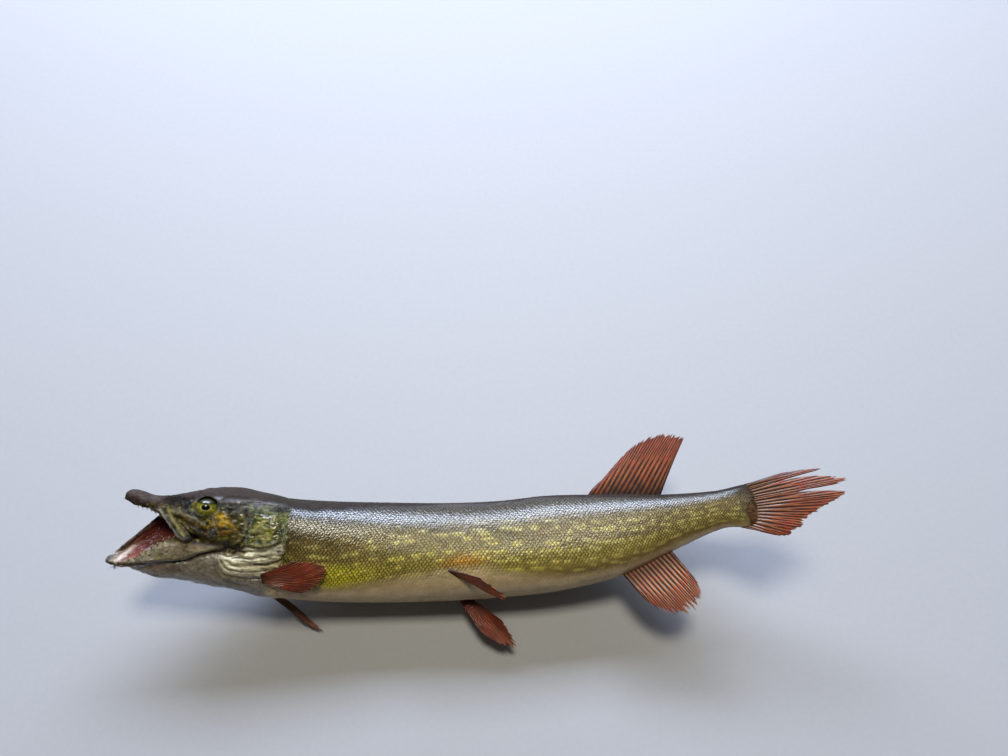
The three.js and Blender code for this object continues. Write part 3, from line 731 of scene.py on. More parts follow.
def mouthShare(points, normals):
    # how much a point faces into the open mouth
    s, y, z = points.T
    middle = np.column_stack([s, np.interp(s, [-14, -4, 10, 40, 62], [-9, -2, 6, 6, 4]), 0 * s])
    facing = np.einsum("ij,ij->i", unit(middle - points, 0.5), normals)
    floor = np.interp(s, [-14, 0, 16, 30, 45, 60], [-23, -18, -13.5, -9, -4, 0])
    return step(0.05, 0.35, facing) * step(66, 58, s) * (y < 27) * step(-1, 0.6, y - floor + 0.12 * z)


def shapeHead(mesh):
    points, normals = readMesh(mesh)
    s, y, z = points.T
    outer = step(0.05, 0.4, normals[:, 2] * np.sign(z)) * (1 - mouthShare(points, normals))
    ws, wy = shifted(points, 3.2, 3, 0.35)
    lift = np.zeros(len(points))
    for height, width, line in headLines.values():
        lift += height * lineMask(line, ws, wy, width) * outer
    for ps, py, radius, depth in pits.values():
        away = np.hypot(ws - ps, wy - py) / radius
        lift += (0.35 * depth * np.exp(-((away - 1.5) / 0.5) ** 2) - depth * np.exp(-away ** 2)) * outer

    head = step(112, 98, s)
    # small folds beside the rear edge of the cheek, and along the gill membranes
    rearLine, _ = nearLine(headLines["cheekRear"][2], ws, wy, 12)
    lift += 0.16 * np.sin(rearLine * 2 * np.pi / 1.25) * step(9, 2, rearLine) * outer * (s > 62)
    foldLine, _ = nearLine(headLines["foldThree"][2], ws, wy, 18)
    lift += 0.2 * np.sin(foldLine * 2 * np.pi / 1.7) * step(15, 6, foldLine) * step(3, -3, y) * outer
    # dried skin: fine crumples, stronger low on the throat and inside the mouth
    crumple = layered(points, (5, 3.2, 3.2), 11)
    fine = layered(points, (1.9, 1.3, 1.3), 15)
    ridged = 1 - np.abs(noise(points, (6, 2.2, 2.2), 21)) * 2
    inside = mouthShare(points, normals)
    low = step(0, -12, y)
    cheek = step(33, 29, y) * step(-8, 2, y) * step(14, 22, s)
    c = crumples
    coarse = c["coarse"] + c["coarseLow"] * low + c["coarseInside"] * inside + c["coarseCheek"] * cheek
    lift += head * (crumple * coarse * 1.3 + fine * (c["fine"] + c["fineCheek"] * cheek))
    lift += head * c["ridges"] * np.maximum(ridged, 0) ** 3 * (0.2 + low + 0.8 * inside)
    lift += head * c["sagging"] * low * layered(points, (13, 8, 8), 27) * (1 - inside)
    # knobbly grooves between the snout and the eye
    bridge = lineMask([(8, 27), (24, 28.8), (33, 29), (41, 30)], ws, wy, 3.8)
    lift -= bridge * np.maximum(layered(points, (2.6, 1.6, 2), 31), 0) * outer
    # cheek muscle and the soft dome behind the eye
    lift += 0.8 * np.exp(-((s - 62) / 9) ** 2 - ((y - 14) / 8) ** 2) * outer
    lift += 0.9 * np.exp(-((s - 67) / 6) ** 2 - ((y - 31) / 3.4) ** 2) * outer
    # folds running along the floor of the mouth
    chinWay = np.arctan2(y + 17 + 0.2 * z, s + 13)
    lift += 0.3 * np.sin(chinWay * 46 + 2 * noise(points, 9, 41)) * inside * step(-13, -4, s)
    points = points + normals * np.clip(lift, c["lowest"], c["highest"])[:, None]

    # the socket: lids that lie on the ball, and the skin tucked in behind it
    s, y, z = points.T
    opening = aroundOrbit(s, y)
    away = np.hypot(s - eyes["s"], y - eyes["y"])
    reach = eyes["radius"] + 0.35
    ball = eyes["z"] + np.sqrt(np.maximum(reach ** 2 - away ** 2, 0))
    facing = (normals[:, 2] * np.sign(z) > 0.05) & (opening < 1.9) & (np.abs(z) > 5)
    lid = ball + orbit["lid"] + 0.22 * np.exp(-((opening - 1.14) / 0.08) ** 2)
    outside = np.maximum(np.abs(z), lid - 5 * step(1.2, 1.9, opening))
    inside = np.minimum(np.abs(z), ball - orbit["sink"])
    share = step(1.05, 0.95, opening)
    points[facing, 2] = (np.sign(z) * (outside * (1 - share) + inside * share))[facing]
    writePoints(mesh, points)


def eyeMound(side, around=48):
    # the orbit stands out a little from the slope of the skull
    t = np.linspace(0.02, np.pi - 0.02, 40)[:, None]
    a = roundAngles(around)
    (s, y, z), (halfLength, halfHeight, halfWidth) = mound["centre"], mound["radius"]
    points = np.stack([
        s - halfLength * np.cos(t) + 0 * a,
        y + halfHeight * np.sin(t) * np.cos(a),
        side * (z + halfWidth * np.sin(t) * np.sin(a)),
    ], -1)
    return points.reshape(-1, 3), gridFaces(len(t), around, closed=True)


# colours of the fish
palette = {name: tone(code) for name, code in {
    "back": "2c2420", "backLight": "41362e", "flank": "75622f", "flankRear": "85704a", "flankDark": "463a1a",
    "gold": "cdb84e", "straw": "bcae6e", "lime": "dccf2c", "limeDark": "8b7a36", "limeBright": "a89e26",
    "belly": "cfb68e", "bellyLight": "e4cc9c", "orange": "b9741f", "headTop": "352b26", "snout": "4a3e38",
    "cheekGold": "dcac1c", "cheekBrown": "6e561f", "cheekDark": "1d170c", "olive": "5c5824",
    "cover": "8e8e40", "coverDark": "26260f", "jawGrey": "877a62", "jawPink": "84665a", "jawSkin": "4c3d31",
    "throat": "847b6a", "throatDark": "4c4236", "foldLight": "f2e8c0",
    "mouthRed": "521a12", "mouthPink": "a0594a", "mouthPale": "cdc2b4",
    "tailRoot": "33230f", "tailRay": "8a5030", "dark": "17120e", "silverGlint": "b4b6ac",
    "finDark": "24130c", "membrane": "50200f", "ray": "964021", "rayHighlight": "b06a38", "finRed": "8a2416",
    "finPale": "b87c62", "finBrown": "8a5f3c", "finBrownDark": "2a1a10",
    "iris": "6b6a1c", "irisGold": "b59a2a", "irisShade": "1c1c0c", "irisGreen": "5a6a1c",
    "pupilRing": "d8d59a", "pupil": "060606",
    "tooth": "a8946e", "toothRoot": "5a3a2c", "shred": "0e0b09",
}.items()}


def paint(colour, *washes):
    # washes laid one over the other; each is a palette name or colours, with its share
    for wash, share in washes:
        colour = blendTo(colour, palette[wash] if isinstance(wash, str) else wash, share)
    return colour


def between(first, second, share):
    return paint(palette[first], (second, share))


def aroundAngle(points):
    # 0 at the back, a quarter turn on the flank, a half turn at the belly
    s, y, z = points.T
    shape = trunkShape(np.clip(s, trunk["start"], trunk["end"]))
    up = (y - shape["middle"]) / (shape["top"] - shape["middle"])
    out = np.abs(z) / np.maximum(shape["width"], 4)
    return np.arctan2(np.maximum(out, 0) ** 1.1, np.sign(up) * np.abs(up) ** 1.1)


markings = {
    "spotLength": 11.6,    # distance between the gold spots along the body, mm
    "spotRow": 5.6,        # and from one row of them to the next
    "spotChance": 0.95,
    "bellyAngle": 2.24,
}


def spotMask(points, angle, c):
    # broken rows of short gold dashes, each side with its own
    s = points[:, 0]
    side = np.where(points[:, 2] > 0, 0.0, 37.0)
    v = angle * 31 * np.interp(s, [100, 300, 440], [1, 0.95, 0.55])
    size = np.interp(s, [100, 300, 440], [1, 1.05, 0.8])
    longer = np.interp(s, [100, 250, 360], [1, 1.1, 1.35])
    a, b = s / (c["spotLength"] * size), v / (c["spotRow"] * size)
    best = np.zeros(len(s))
    for da in (-1, 0, 1):
        for db in (-1, 0, 1):
            ca, cb = np.floor(a) + da, np.floor(b) + db
            r = [scatter(ca * noiseWay[0] + cb * noiseWay[1] + k * noiseWay[2] + side) for k in range(4)]
            x = (a - ca - 0.9 * r[0] - 0.5 * (cb % 2)) * c["spotLength"]
            w = (b - cb - 0.15 - 0.7 * r[1]) * c["spotRow"]
            length, width = (2.2 + 2.6 * r[2]) * longer, (0.75 + 0.5 * r[3]) * longer
            dash = step(1.35, 0.7, np.sqrt((x / length) ** 2 + (w / width) ** 2))
            best = np.maximum(best, dash * (r[0] * 0.7 + r[3] * 0.5 < c["spotChance"]))
    return best


def trunkTint(points):
    s, y, z = points.T
    angle = aroundAngle(points)
    wob = layered(points, (26, 9, 9), 51)
    small = layered(points, (6, 3.4, 3.4), 55)
    a = angle + 0.10 * wob
    tail = step(250, 340, s)
    patch = step(-0.2, 0.6, layered(points, (12, 6, 6), 58)) * step(0.8, 1.3, a)
    lime = step(1.70, 2.0, a) * step(2.38, 2.15, a)
    bright = 1.1 * np.exp(-((s - 134) / 27) ** 2) + 0.14 * np.exp(-((s - 340) / 50) ** 2) + 0.06
    spots = spotMask(points, angle, markings) * step(1.12, 1.5, a)
    spots *= step(2.35 + 0.3 * tail, 2.1 + 0.3 * tail, a) * (0.7 + 0.3 * small)
    gold = between("gold", "straw", np.maximum(step(1.85, 1.25, a), 0.6 * tail))
    glow = np.exp(-((s - 234) / 14) ** 2 - ((angle - 2.02) / 0.14) ** 2)
    behindGill = np.exp(-((s - 108) / 14) ** 2) * step(1.62, 1.8, a) * step(2.15, 1.95, a)
    fringe = step(114, 101, s + 5 * small + 3 * wob) * step(2.3, 1.9, a)
    edge = markings["bellyAngle"] + 0.36 * tail
    under = paint(
        between("belly", "bellyLight", 0.6 * step(-0.3, 0.7, wob)),
        ("throatDark", 0.35 * step(0.2, 0.9, layered(points, (14, 5, 5), 66))),
        ("limeDark", 0.45 * step(edge + 0.5, edge, a) * step(-0.2, 0.5, small)),
    )
    # the stalk ends in the first ends of the tail's rays
    rayWay = 9.5 * (1 - y / (13.5 + 0.12 * (s - 432)))
    base = between("tailRoot", "tailRay", 0.12 + 0.2 * np.cos(2 * np.pi * (rayWay - 0.5)))
    line = np.interp(y, [-9.8, -4.3, 0.1, 4.2, 10.5], [438.4, 438.3, 440.6, 443.3, 443.4])
    return paint(
        between("back", "backLight", 0.5 * step(-0.4, 0.8, small)),
        ("flankDark", step(0.62, 0.95, a + 0.1 * tail)),
        ("flank", step(0.95, 1.5, a + 0.1 * tail)),
        ("flankDark", 0.6 * patch * step(2.4, 1.8, a)),
        ("limeDark", (0.6 - 0.35 * tail) * step(1.35, 1.95, a)),
        ("flankRear", 0.5 * tail * step(0.8, 1.3, a)),
        ("lime", np.clip(lime * bright * (0.75 + 0.35 * small), 0, 1)),
        (gold, 0.95 * np.clip(spots, 0, 1)),
        ("orange", 0.7 * glow),
        ("gold", 0.7 * behindGill * step(-0.4, 0.4, small)),
        ("coverDark", 0.75 * fringe * step(-0.5, 0.3, small)),
        (under, step(edge - 0.18, edge + 0.2, a + 0.12 * small)),
        ("tailRoot", 0.7 * step(430, 443, s + 3 * small)),
        (base, step(-1, 1.2, s - line + 1.6 * small)),
    )


headStains = {
    # colour: patches as s, y, half length, half height
    "cheekBrown": [(50, 9, 9, 4), (36, 12, 4, 6), (70, 10, 5, 6), (33, 22, 6, 3)],
    "olive": [(66, 23, 6, 4), (60, 6.5, 11, 3), (72, 16, 3, 8), (40, 21, 4, 2.5), (44, 8, 5, 3.5)],
    "cheekGold": [(57.4, 22.6, 5.5, 3.4), (56.2, 17.6, 5, 2.8), (51.4, 13.8, 4.6, 2.0),
                  (67.5, 15.8, 4.6, 2.6), (43.8, 15.0, 5.4, 2.2), (62.6, 18.8, 4, 2.2),
                  (37.4, 17.4, 3, 1.8), (64, 11.4, 4, 1.6)],
    "limeBright": [(62.4, 8.2, 5.4, 1.5), (39.6, 26.2, 2.4, 3.2), (50.5, 20.4, 7, 1.4), (25, 21, 3.6, 1.6),
                   (74.6, 7.6, 2, 3), (55, 5.2, 5, 1.2)],
    "orange": [(62, 12.6, 2.8, 1.3), (36, 20.4, 2.2, 1.0)],
    "cheekDark": [(55, 9.6, 5.5, 1.6), (59.6, 31.4, 6, 3), (46, 11.2, 5, 1.2), (30, 29.4, 9, 2.4),
                  (72, 31.6, 5, 2), (49.4, 16.6, 1.4, 1.2)],
}
coverStains = {
    "straw": [(84, 17, 4, 3), (90, 12, 5, 2.2), (96, 20, 3, 3)],
    "limeBright": [(82, 8, 4, 2.4), (99, 3, 4, 6), (92, 17, 3, 2)],
    "jawPink": [(84.6, 12.6, 1.6, 1.2)],
    "coverDark": [(86, 27, 12, 4), (98, 14, 3, 10), (88, 8.4, 6, 1.4), (79, 20, 2.5, 3)],
    # a pale silver streak low on the cover: a painted highlight
    "silverGlint": [(95, 9.4, 5, 0.9)],
}


def clouds(colour, rows, s, y, uneven):
    # soft patches with ragged edges, laid one over the other
    for name, patches in rows.items():
        field = sum(np.exp(-((s - atS) / long) ** 2 - ((y - atY) / high) ** 2)
                    for atS, atY, long, high in patches)
        colour = paint(colour, (name, 0.85 * step(0.35, 0.95, field + uneven)))
    return colour


lineTints = {
    # the lines of the head that are painted too: colour and strength; the grooves and folds are painted dark,
    # painted shade in them, and the temple ridge gets a painted highlight
    "lipMiddle": ("cheekBrown", 0.6), "lipRearEdge": ("gold", 0.8), "lipRear": ("dark", 0.9),
    "cheekRidge": ("straw", 0.45), "cheekGroove": ("dark", 0.6), "templeRidge": ("silverGlint", 0.3),
    "templeGroove": ("dark", 0.7), "domeEdge": ("dark", 0.5), "cheekRear": ("dark", 0.75),
    "cheekRearEdge": ("gold", 0.35), "coverLine": ("dark", 0.75), "coverLineEdge": ("straw", 0.5),
    "jawLine": ("dark", 0.85), "wetGroove": ("dark", 0.75), "browGroove": ("dark", 0.8),
    "foldOne": ("dark", 0.7), "foldTwo": ("throatDark", 0.8), "foldThree": ("throatDark", 0.8),
    "foldFour": ("throatDark", 0.8), "foldFive": ("throatDark", 0.7), "foldSix": ("throatDark", 0.5),
    "jawFold": ("throatDark", 0.6),
}
lipTint = {
    "edge": np.array([(16.9, 23.3), (22.6, 15.8), (28.1, 9), (32.7, 4.8)]),   # front edge of the lip bone
    # stripes beside it: distance to the rear, colour, strength, width
    "stripes": [(4.9, "gold", 0.7, 1.1), (3.0, "dark", 0.9, 1.1), (0.7, "foldLight", 0.75, 0.9)],
}


def cheekTint(y, fs, fy, blot, small, fine, fleck):
    # nearly black, under ragged clouds of gold
    cheek = between("cheekDark", "cheekBrown", 0.75 * step(-0.5, 0.6, small + blot))
    return paint(
        clouds(cheek, headStains, fs, fy, 0.34 * small + 0.16 * blot + 0.22 * fine),
        ("cheekDark", 0.85 * step(-0.05, 0.35, small + 0.7 * fine)),
        ("straw", 0.7 * step(0.2, 0.6, -small - 0.7 * fine) * step(4, 10, y)),
        ("cheekDark", 0.7 * fleck),
    )


def coverTint(points, fs, fy, blot, small, fine, fleck):
    # clear green and yellow in a dark net
    net = step(0.24, 0.06, np.abs(layered(points, (4.2, 3.0, 3.0), 73)))
    cover = between("cover", "olive", 0.6 * step(-0.3, 0.5, blot))
    return paint(
        clouds(cover, coverStains, fs, fy, 0.34 * small + 0.16 * blot + 0.22 * fine),
        ("coverDark", 0.7 * net),
        ("coverDark", 0.5 * fleck),
        ("straw", 0.6 * step(0.2, 0.7, -small - 0.7 * fine)),
    )


def throatTint(points, wy, blot, small):
    # underside of the head, and the pale folds of the gill membranes
    s, y, z = points.T
    foldWay = noise(np.column_stack([s + 0.5 * y, y + 0.12 * s, z]), (16, 1.5, 9), 101)
    folds = step(58, 68, s) * step(-19, -6, wy + 0.1 * (100 - s)) * step(-0.7, 0.1, foldWay + 0.3 * small)
    return paint(
        between("throat", "throatDark", 0.6 * step(0.0, 0.6, blot)),
        ("jawPink", 0.6 * step(40, 10, s) * step(-25, -17, y)),
        ("foldLight", 0.9 * folds),
        ("throatDark", 0.35 * step(-20, -30, y)),
    )


def jawTint(s, blot, small, fleck, belowRim, aboveEdge):
    # grey and greenish, clouded and speckled, brown along the rim and dark at the tip
    return paint(
        between("jawGrey", "olive", 0.6 * step(-0.2, 0.5, blot)),
        ("throatDark", 0.7 * step(0.0, 0.6, small)),
        ("straw", 0.35 * step(0.3, 0.8, -small)),
        ("dark", 0.35 * fleck),
        ("cheekBrown", 0.6 * step(3.5, 0.5, np.abs(belowRim + 1.5) + small) * step(4, 16, s)),
        ("throatDark", 0.7 * step(3.6, 0.4, aboveEdge + 1.2 * small) * step(50, 40, s)),
        ("dark", 0.85 * step(-6, -10, s + 1.5 * small)),
    )


def headTint(points, normals):
    s, y, z = points.T
    ws, wy = shifted(points, 3.2, 3, 0.35)
    fs, fy = shifted(points, (5, 4, 4), 5, 2.2)
    blot = layered(points, (7, 5, 5), 71)
    small = layered(points, (2.4, 1.8, 1.8), 75)
    fine = layered(points, (1.3, 1.0, 1.0), 103)
    grain = noise(points, 0.9, 79)
    fleck = step(0.25, 0.6, layered(points, (1.5, 1.2, 1.2), 77))
    roof = np.interp(s, [-6, 10, 20, 42, 56, 70, 100], [20, 25, 27, 32, 33, 33, 31])
    side = step(1.4, -1.8, fy - roof)
    jawEdge = np.interp(s, [-14, 7.7, 29, 41.8, 47.5, 55, 62, 70, 78, 86, 100],
                        [-21.5, -16.6, -12.6, -9.6, -6.4, -3.2, -2.7, -2.5, 3.2, 3.6, 8.5])
    rimLine = np.interp(s, [-14, 0, 16, 30, 44, 56, 66], [-9.5, -3.2, 1.4, 4.2, 1.9, 1.0, 0.5])
    below = step(0.6, -0.6, wy - jawEdge)
    colour = paint(
        palette["headTop"],
        ("snout", step(34, 8, s) * step(-0.5, 0.6, small + 0.5 * grain)),
        ("dark", 0.7 * step(34, 20, s) * step(0.1, 0.7, small - 0.3 * grain)),
        (cheekTint(y, fs, fy, blot, small, fine, fleck), side),
        (coverTint(points, fs, fy, blot, small, fine, fleck),
         step(-1.2, 1.2, ws - 76.6 + 1.2 * small) * side),
        (throatTint(points, wy, blot, small), below),
        (jawTint(s, blot, small, fleck, wy - rimLine, wy - jawEdge),
         (1 - below) * step(1.2, -1.6, wy - rimLine) * step(70, 56, fs)),
    )
    outer = step(0.0, 0.3, normals[:, 2] * np.sign(z))
    # painted shade in the grooves and folds, and a painted highlight on the temple ridge
    for name, (tint, share) in lineTints.items():
        _, width, line = headLines[name]
        mask = lineMask(line, ws, wy, width * 1.1) * outer
        colour = paint(colour, (tint, np.clip(share * mask * (0.8 + 0.4 * small), 0, 1)))
    for away, tint, share, width in lipTint["stripes"]:
        mask = lineMask(lipTint["edge"] + [away, 0.3 * away], ws, wy, width)
        colour = paint(colour, (tint, share * mask * (0.85 + 0.3 * small)))
    colour = paint(colour, ("straw", 0.3 * lineMask([(0.5, 23.4), (8, 21.4), (14.5, 19.2)], ws, wy, 1.0)))
    # every pit is painted dark inside: painted shade in its hollow
    for ps, py, radius, _ in pits.values():
        colour = paint(colour, ("dark", 0.9 * np.exp(-(np.hypot(ws - ps, wy - py) / radius) ** 2)))
    # the rim of the eye's opening is painted dark, most of all along its top: painted shade under the brow
    opening = aroundOrbit(s, y)
    yellow = 0.6 * np.exp(-((opening - 1.2) / 0.13) ** 2) * step(30, 24, y) * step(-0.3, 0.4, small)
    colour = paint(
        colour,
        ("dark", (0.35 + 0.55 * step(25, 30, y)) * np.exp(-((opening - 1.0) / 0.08) ** 2)),
        ("limeBright", yellow),
        (mouthTint(points), mouthShare(points, normals)),
    )
    return colour * (1 + 0.12 * grain)[:, None]


gape = {"chin": np.array([-15.6, -19.4]), "snout": np.array([12.4, 13.6])}   # ends of its far free edge


def mouthTint(points):
    s, y, z = points.T
    way = (gape["snout"] - gape["chin"]) / np.linalg.norm(gape["snout"] - gape["chin"])
    fromS, fromY = s - gape["chin"][0], y - gape["chin"][1]
    along = fromS * way[0] + fromY * way[1]
    inward = fromS * way[1] - fromY * way[0] + 0.5 * noise(points, 5, 85)
    streak = noise(np.column_stack([along, inward, z]), (14, 1.1, 6), 81)
    return paint(
        between("mouthPink", "mouthRed", 0.45 + 0.4 * streak),
        ("mouthRed", 0.9 * step(14, 34, along) * step(24, 12, inward)),
        ("mouthPale", 0.9 * np.exp(-((inward - 5.6) / 1.7) ** 2) * step(27, 12, along)),
        (between("jawSkin", "dark", step(0.0, 0.5, noise(points, 1.7, 88))), 0.9 * step(4.4, 3.2, inward)),
        ("jawGrey", 0.8 * step(-5, -9, s)),
        ("dark", 0.8 * step(-8.5, -11, s)),
    )


def fishTint(points, normals):
    s, y, z = points.T
    line = np.where(y > 29, 92, 104) + 3 * noise(points, 8, 91)
    line = np.where(y < -8, 96, line)
    return paint(headTint(points, normals), (trunkTint(points), step(-6, 4, s - line)))


def wetness(points, normals=None):
    # the varnish is thin and dull along the back and the top of the head
    s, y, z = points.T
    angle = aroundAngle(points) + 0.06 * noise(points, 9, 95)
    body = step(0.50, 0.70, angle) * (1 - 0.45 * step(1.08, 1.4, angle))
    roof = np.interp(s, [-6, 10, 20, 42, 56, 70, 100], [21, 23, 26, 33, 34, 34, 34])
    head = step(1.5, -1.5, y - roof + noise(points, 6, 96))
    mouth = 0.5 * mouthShare(points, normals) if normals is not None else 0
    tailEnd = 0.9 * step(428, 440, s)
    return 0.02 + 0.98 * (head * (1 - mouth) + (body - head) * step(92, 106, s)) * (1 - tailEnd)


# materials
def newMaterial(name):
    material = bpy.data.materials.new(name)
    material.use_nodes = True
    tree = material.node_tree
    return material, tree.nodes, tree.links, tree.nodes["Principled BSDF"]


def addNoise(nodes, links, place, size, detail=4, roughness=0.6):
    node = nodes.new("ShaderNodeTexNoise")
    node.inputs["Scale"].default_value = size
    node.inputs["Detail"].default_value = detail
    node.inputs["Roughness"].default_value = roughness
    links.new(place.outputs["Object"], node.inputs["Vector"])
    return node


def ramp(nodes, links, source, low, high, fromLow=0.3, fromHigh=0.7):
    node = nodes.new("ShaderNodeMapRange")
    for key, value in (("From Min", fromLow), ("From Max", fromHigh), ("To Min", low), ("To Max", high)):
        node.inputs[key].default_value = value
    links.new(source, node.inputs["Value"])
    return node.outputs["Result"]


def wetMaterial(name, look):
    # painted colour under varnish: the tint, mottled, with a fine grain and small bumps
    material, nodes, links, surface = newMaterial(name)
    tint = nodes.new("ShaderNodeAttribute")
    tint.attribute_name = "tint"
    place = nodes.new("ShaderNodeTexCoord")
    mottle = addNoise(nodes, links, place, look["mottleSize"])
    grain = addNoise(nodes, links, place, look["grainSize"], 6, 0.7)
    shade = nodes.new("ShaderNodeMath")
    shade.operation = "MULTIPLY"
    for socket, source, depth in ((0, mottle, look["mottle"]), (1, grain, look["grain"])):
        links.new(ramp(nodes, links, source.outputs["Fac"], 1 - depth, 1 + depth), shade.inputs[socket])
    mix = nodes.new("ShaderNodeVectorMath")
    mix.operation = "SCALE"
    links.new(tint.outputs["Color"], mix.inputs[0])
    links.new(shade.outputs["Value"], mix.inputs["Scale"])
    links.new(mix.outputs["Vector"], surface.inputs["Base Color"])
    dull = ramp(nodes, links, tint.outputs["Alpha"], look["dull"], 0, 0, 1)
    rough = nodes.new("ShaderNodeMath")
    links.new(ramp(nodes, links, grain.outputs["Fac"], *look["roughness"]), rough.inputs[0])
    links.new(dull, rough.inputs[1])
    links.new(rough.outputs["Value"], surface.inputs["Roughness"])
    bump = nodes.new("ShaderNodeBump")
    bump.inputs["Strength"].default_value = look["bump"]
    bump.inputs["Distance"].default_value = look["bumpDepth"]
    if "crumple" in look:
        # the face is rougher than the smooth skin of the trunk
        share = nodes.new("ShaderNodeAttribute")
        share.attribute_name = "crumple"
        links.new(ramp(nodes, links, share.outputs["Fac"], *look["crumple"], 0, 1), bump.inputs["Strength"])
    links.new(grain.outputs["Fac"], bump.inputs["Height"])
    for socket in ("Normal", "Coat Normal"):
        links.new(bump.outputs["Normal"], surface.inputs[socket])
    links.new(ramp(nodes, links, tint.outputs["Alpha"], 0, look["coat"], 0, 1), surface.inputs["Coat Weight"])
    surface.inputs["Coat Roughness"].default_value = look["coatRoughness"]
    surface.inputs["Coat IOR"].default_value = look["coatIor"]
    surface.inputs["Specular IOR Level"].default_value = look["specular"]
    return material


looks = {
    "skin": {"mottleSize": 260, "mottle": 0.24, "grainSize": 620, "grain": 0.34, "roughness": (0.34, 0.5),
             "bump": 1.0, "bumpDepth": 0.0045, "crumple": (0.2, 1.0), "coat": 1.0, "coatRoughness": 0.06,
             "coatIor": 1.55, "specular": 0.1, "dull": 0.25},
    "scale": {"mottleSize": 120, "mottle": 0.12, "grainSize": 1500, "grain": 0.14, "roughness": (0.3, 0.46),
              "bump": 0.6, "bumpDepth": 0.0002, "coat": 1.0, "coatRoughness": 0.1, "coatIor": 1.72,
              "specular": 0.12, "dull": 0.25},
    "fin": {"mottleSize": 140, "mottle": 0.22, "grainSize": 1100, "grain": 0.22, "roughness": (0.36, 0.55),
            "bump": 0.4, "bumpDepth": 0.00015, "coat": 0.3, "coatRoughness": 0.14, "coatIor": 1.5,
            "specular": 0.3, "dull": 0},
    "eye": {"mottleSize": 400, "mottle": 0.12, "grainSize": 2500, "grain": 0.2, "roughness": (0.12, 0.2),
            "bump": 0.0, "bumpDepth": 0.0001, "coat": 0.45, "coatRoughness": 0.02, "coatIor": 1.5,
            "specular": 0.2, "dull": 0},
    "tooth": {"mottleSize": 300, "mottle": 0.1, "grainSize": 1500, "grain": 0.1, "roughness": (0.25, 0.4),
              "bump": 0.1, "bumpDepth": 0.0001, "coat": 0.6, "coatRoughness": 0.1, "coatIor": 1.5,
              "specular": 0.5, "dull": 0},
}
skinMaterial = wetMaterial("variegated_skin", looks["skin"])
scaleMaterial = wetMaterial("scale", looks["scale"])
finMaterial = wetMaterial("fin_membrane", looks["fin"])
eyeMaterial = wetMaterial("glass_eye", looks["eye"])
toothMaterial = wetMaterial("tooth", looks["tooth"])


# the skin in place
def finishSkin(mesh):
    shapeHead(mesh)
    triangles = 2 * len(mesh.polygons)
    if triangles > skin["triangles"]:
        mesh = applyModifier(mesh, "DECIMATE", ratio=skin["triangles"] / triangles)
        mesh.polygons.foreach_set("use_smooth", np.ones(len(mesh.polygons), bool))
    points, normals = readMesh(mesh)
    paintMesh(mesh, fishTint(points, normals), wetness(points, normals))
    s, y, z = points.T
    rough = mesh.attributes.new("crumple", "FLOAT", "POINT")
    onCheek = step(34, 30, y) * step(-2, 5, y) * step(10, 24, s) * step(106, 99, s)
    rough.data.foreach_set("value", onCheek.astype(np.float32))
    straight = mesh.copy()
    writePoints(mesh, carry(points))
    mesh.name = "skin"
    nodes = ("head", "lower_jaw", "throat", "tongue", "upper_lip_left", "upper_lip_right", "mouth_skin_right",
             "gill_cover_left", "gill_cover_right", "trunk_front", "trunk_rear", "tail_stalk")
    addPiece("skin", mesh, skinMaterial, nodes)
    print("skin in place:", len(mesh.polygons), "faces")
    return straight


straightMesh = finishSkin(straightSkin(skin))


# scales
coat = {
    "pitch": 2.75,        # from one scale to the next along a row, mm
    "rowPitch": 3.6,      # from one row to the next but one, as rows are staggered
    "tailSize": 0.62,     # scales at the tail, as a share of those on the trunk
    "overlap": 1.6,       # length as a share of the pitch
    "spread": 0.98,       # width as a share of that row pitch
    "rise": 0.28,         # the free edge above the skin
    "dome": 0.25,
    "sunk": 0.32,         # and how deep its root lies below
    "thick": 0.34,
    "from": 97,
    "to": 447,
    "lengthSteps": 7,
    "widthSteps": 7,
}


def scaleTable(c):
    # half outlines of the trunk, evenly measured from the back to the belly
    marks = np.arange(c["from"] - 6, c["to"] + 7.0)
    angle = np.linspace(0.0001, np.pi - 0.0001, 721)
    shapes = trunkShape(marks, -trunk["inset"])
    y, z = section(shapes, angle)
    run = np.concatenate([np.zeros((len(marks), 1)), np.cumsum(np.hypot(np.diff(y), np.diff(z)), axis=1)], 1)
    share = np.linspace(0, 1, 361)
    rows = [[np.interp(share * r[-1], r, values) for values in pair] for r, *pair in zip(run, y, z)]
    table = np.array(rows).transpose(0, 2, 1)
    widest = np.array([np.argmax(row[:, 1]) for row in table]) / 360
    return marks, table, run[:, -1], widest


scaleMarks, bodyTable, girthHalf, widestShare = scaleTable(coat)


def onBody(s, share):
    # a point of the trunk, bilinear in the table
    a = np.clip(s - scaleMarks[0], 0, len(scaleMarks) - 1.001)
    b = np.clip(share, 0, 1) * 359.999
    i, j = a.astype(int), b.astype(int)
    fa, fb = (a - i)[..., None], (b - j)[..., None]
    low = bodyTable[i, j] * (1 - fb) + bodyTable[i, j + 1] * fb
    high = bodyTable[i + 1, j] * (1 - fb) + bodyTable[i + 1, j + 1] * fb
    return low * (1 - fa) + high * fa


def scaleSize(s):
    return np.interp(s, [97, 125, 310, 438], [0.84, 1.0, 1.0, coat["tailSize"]])


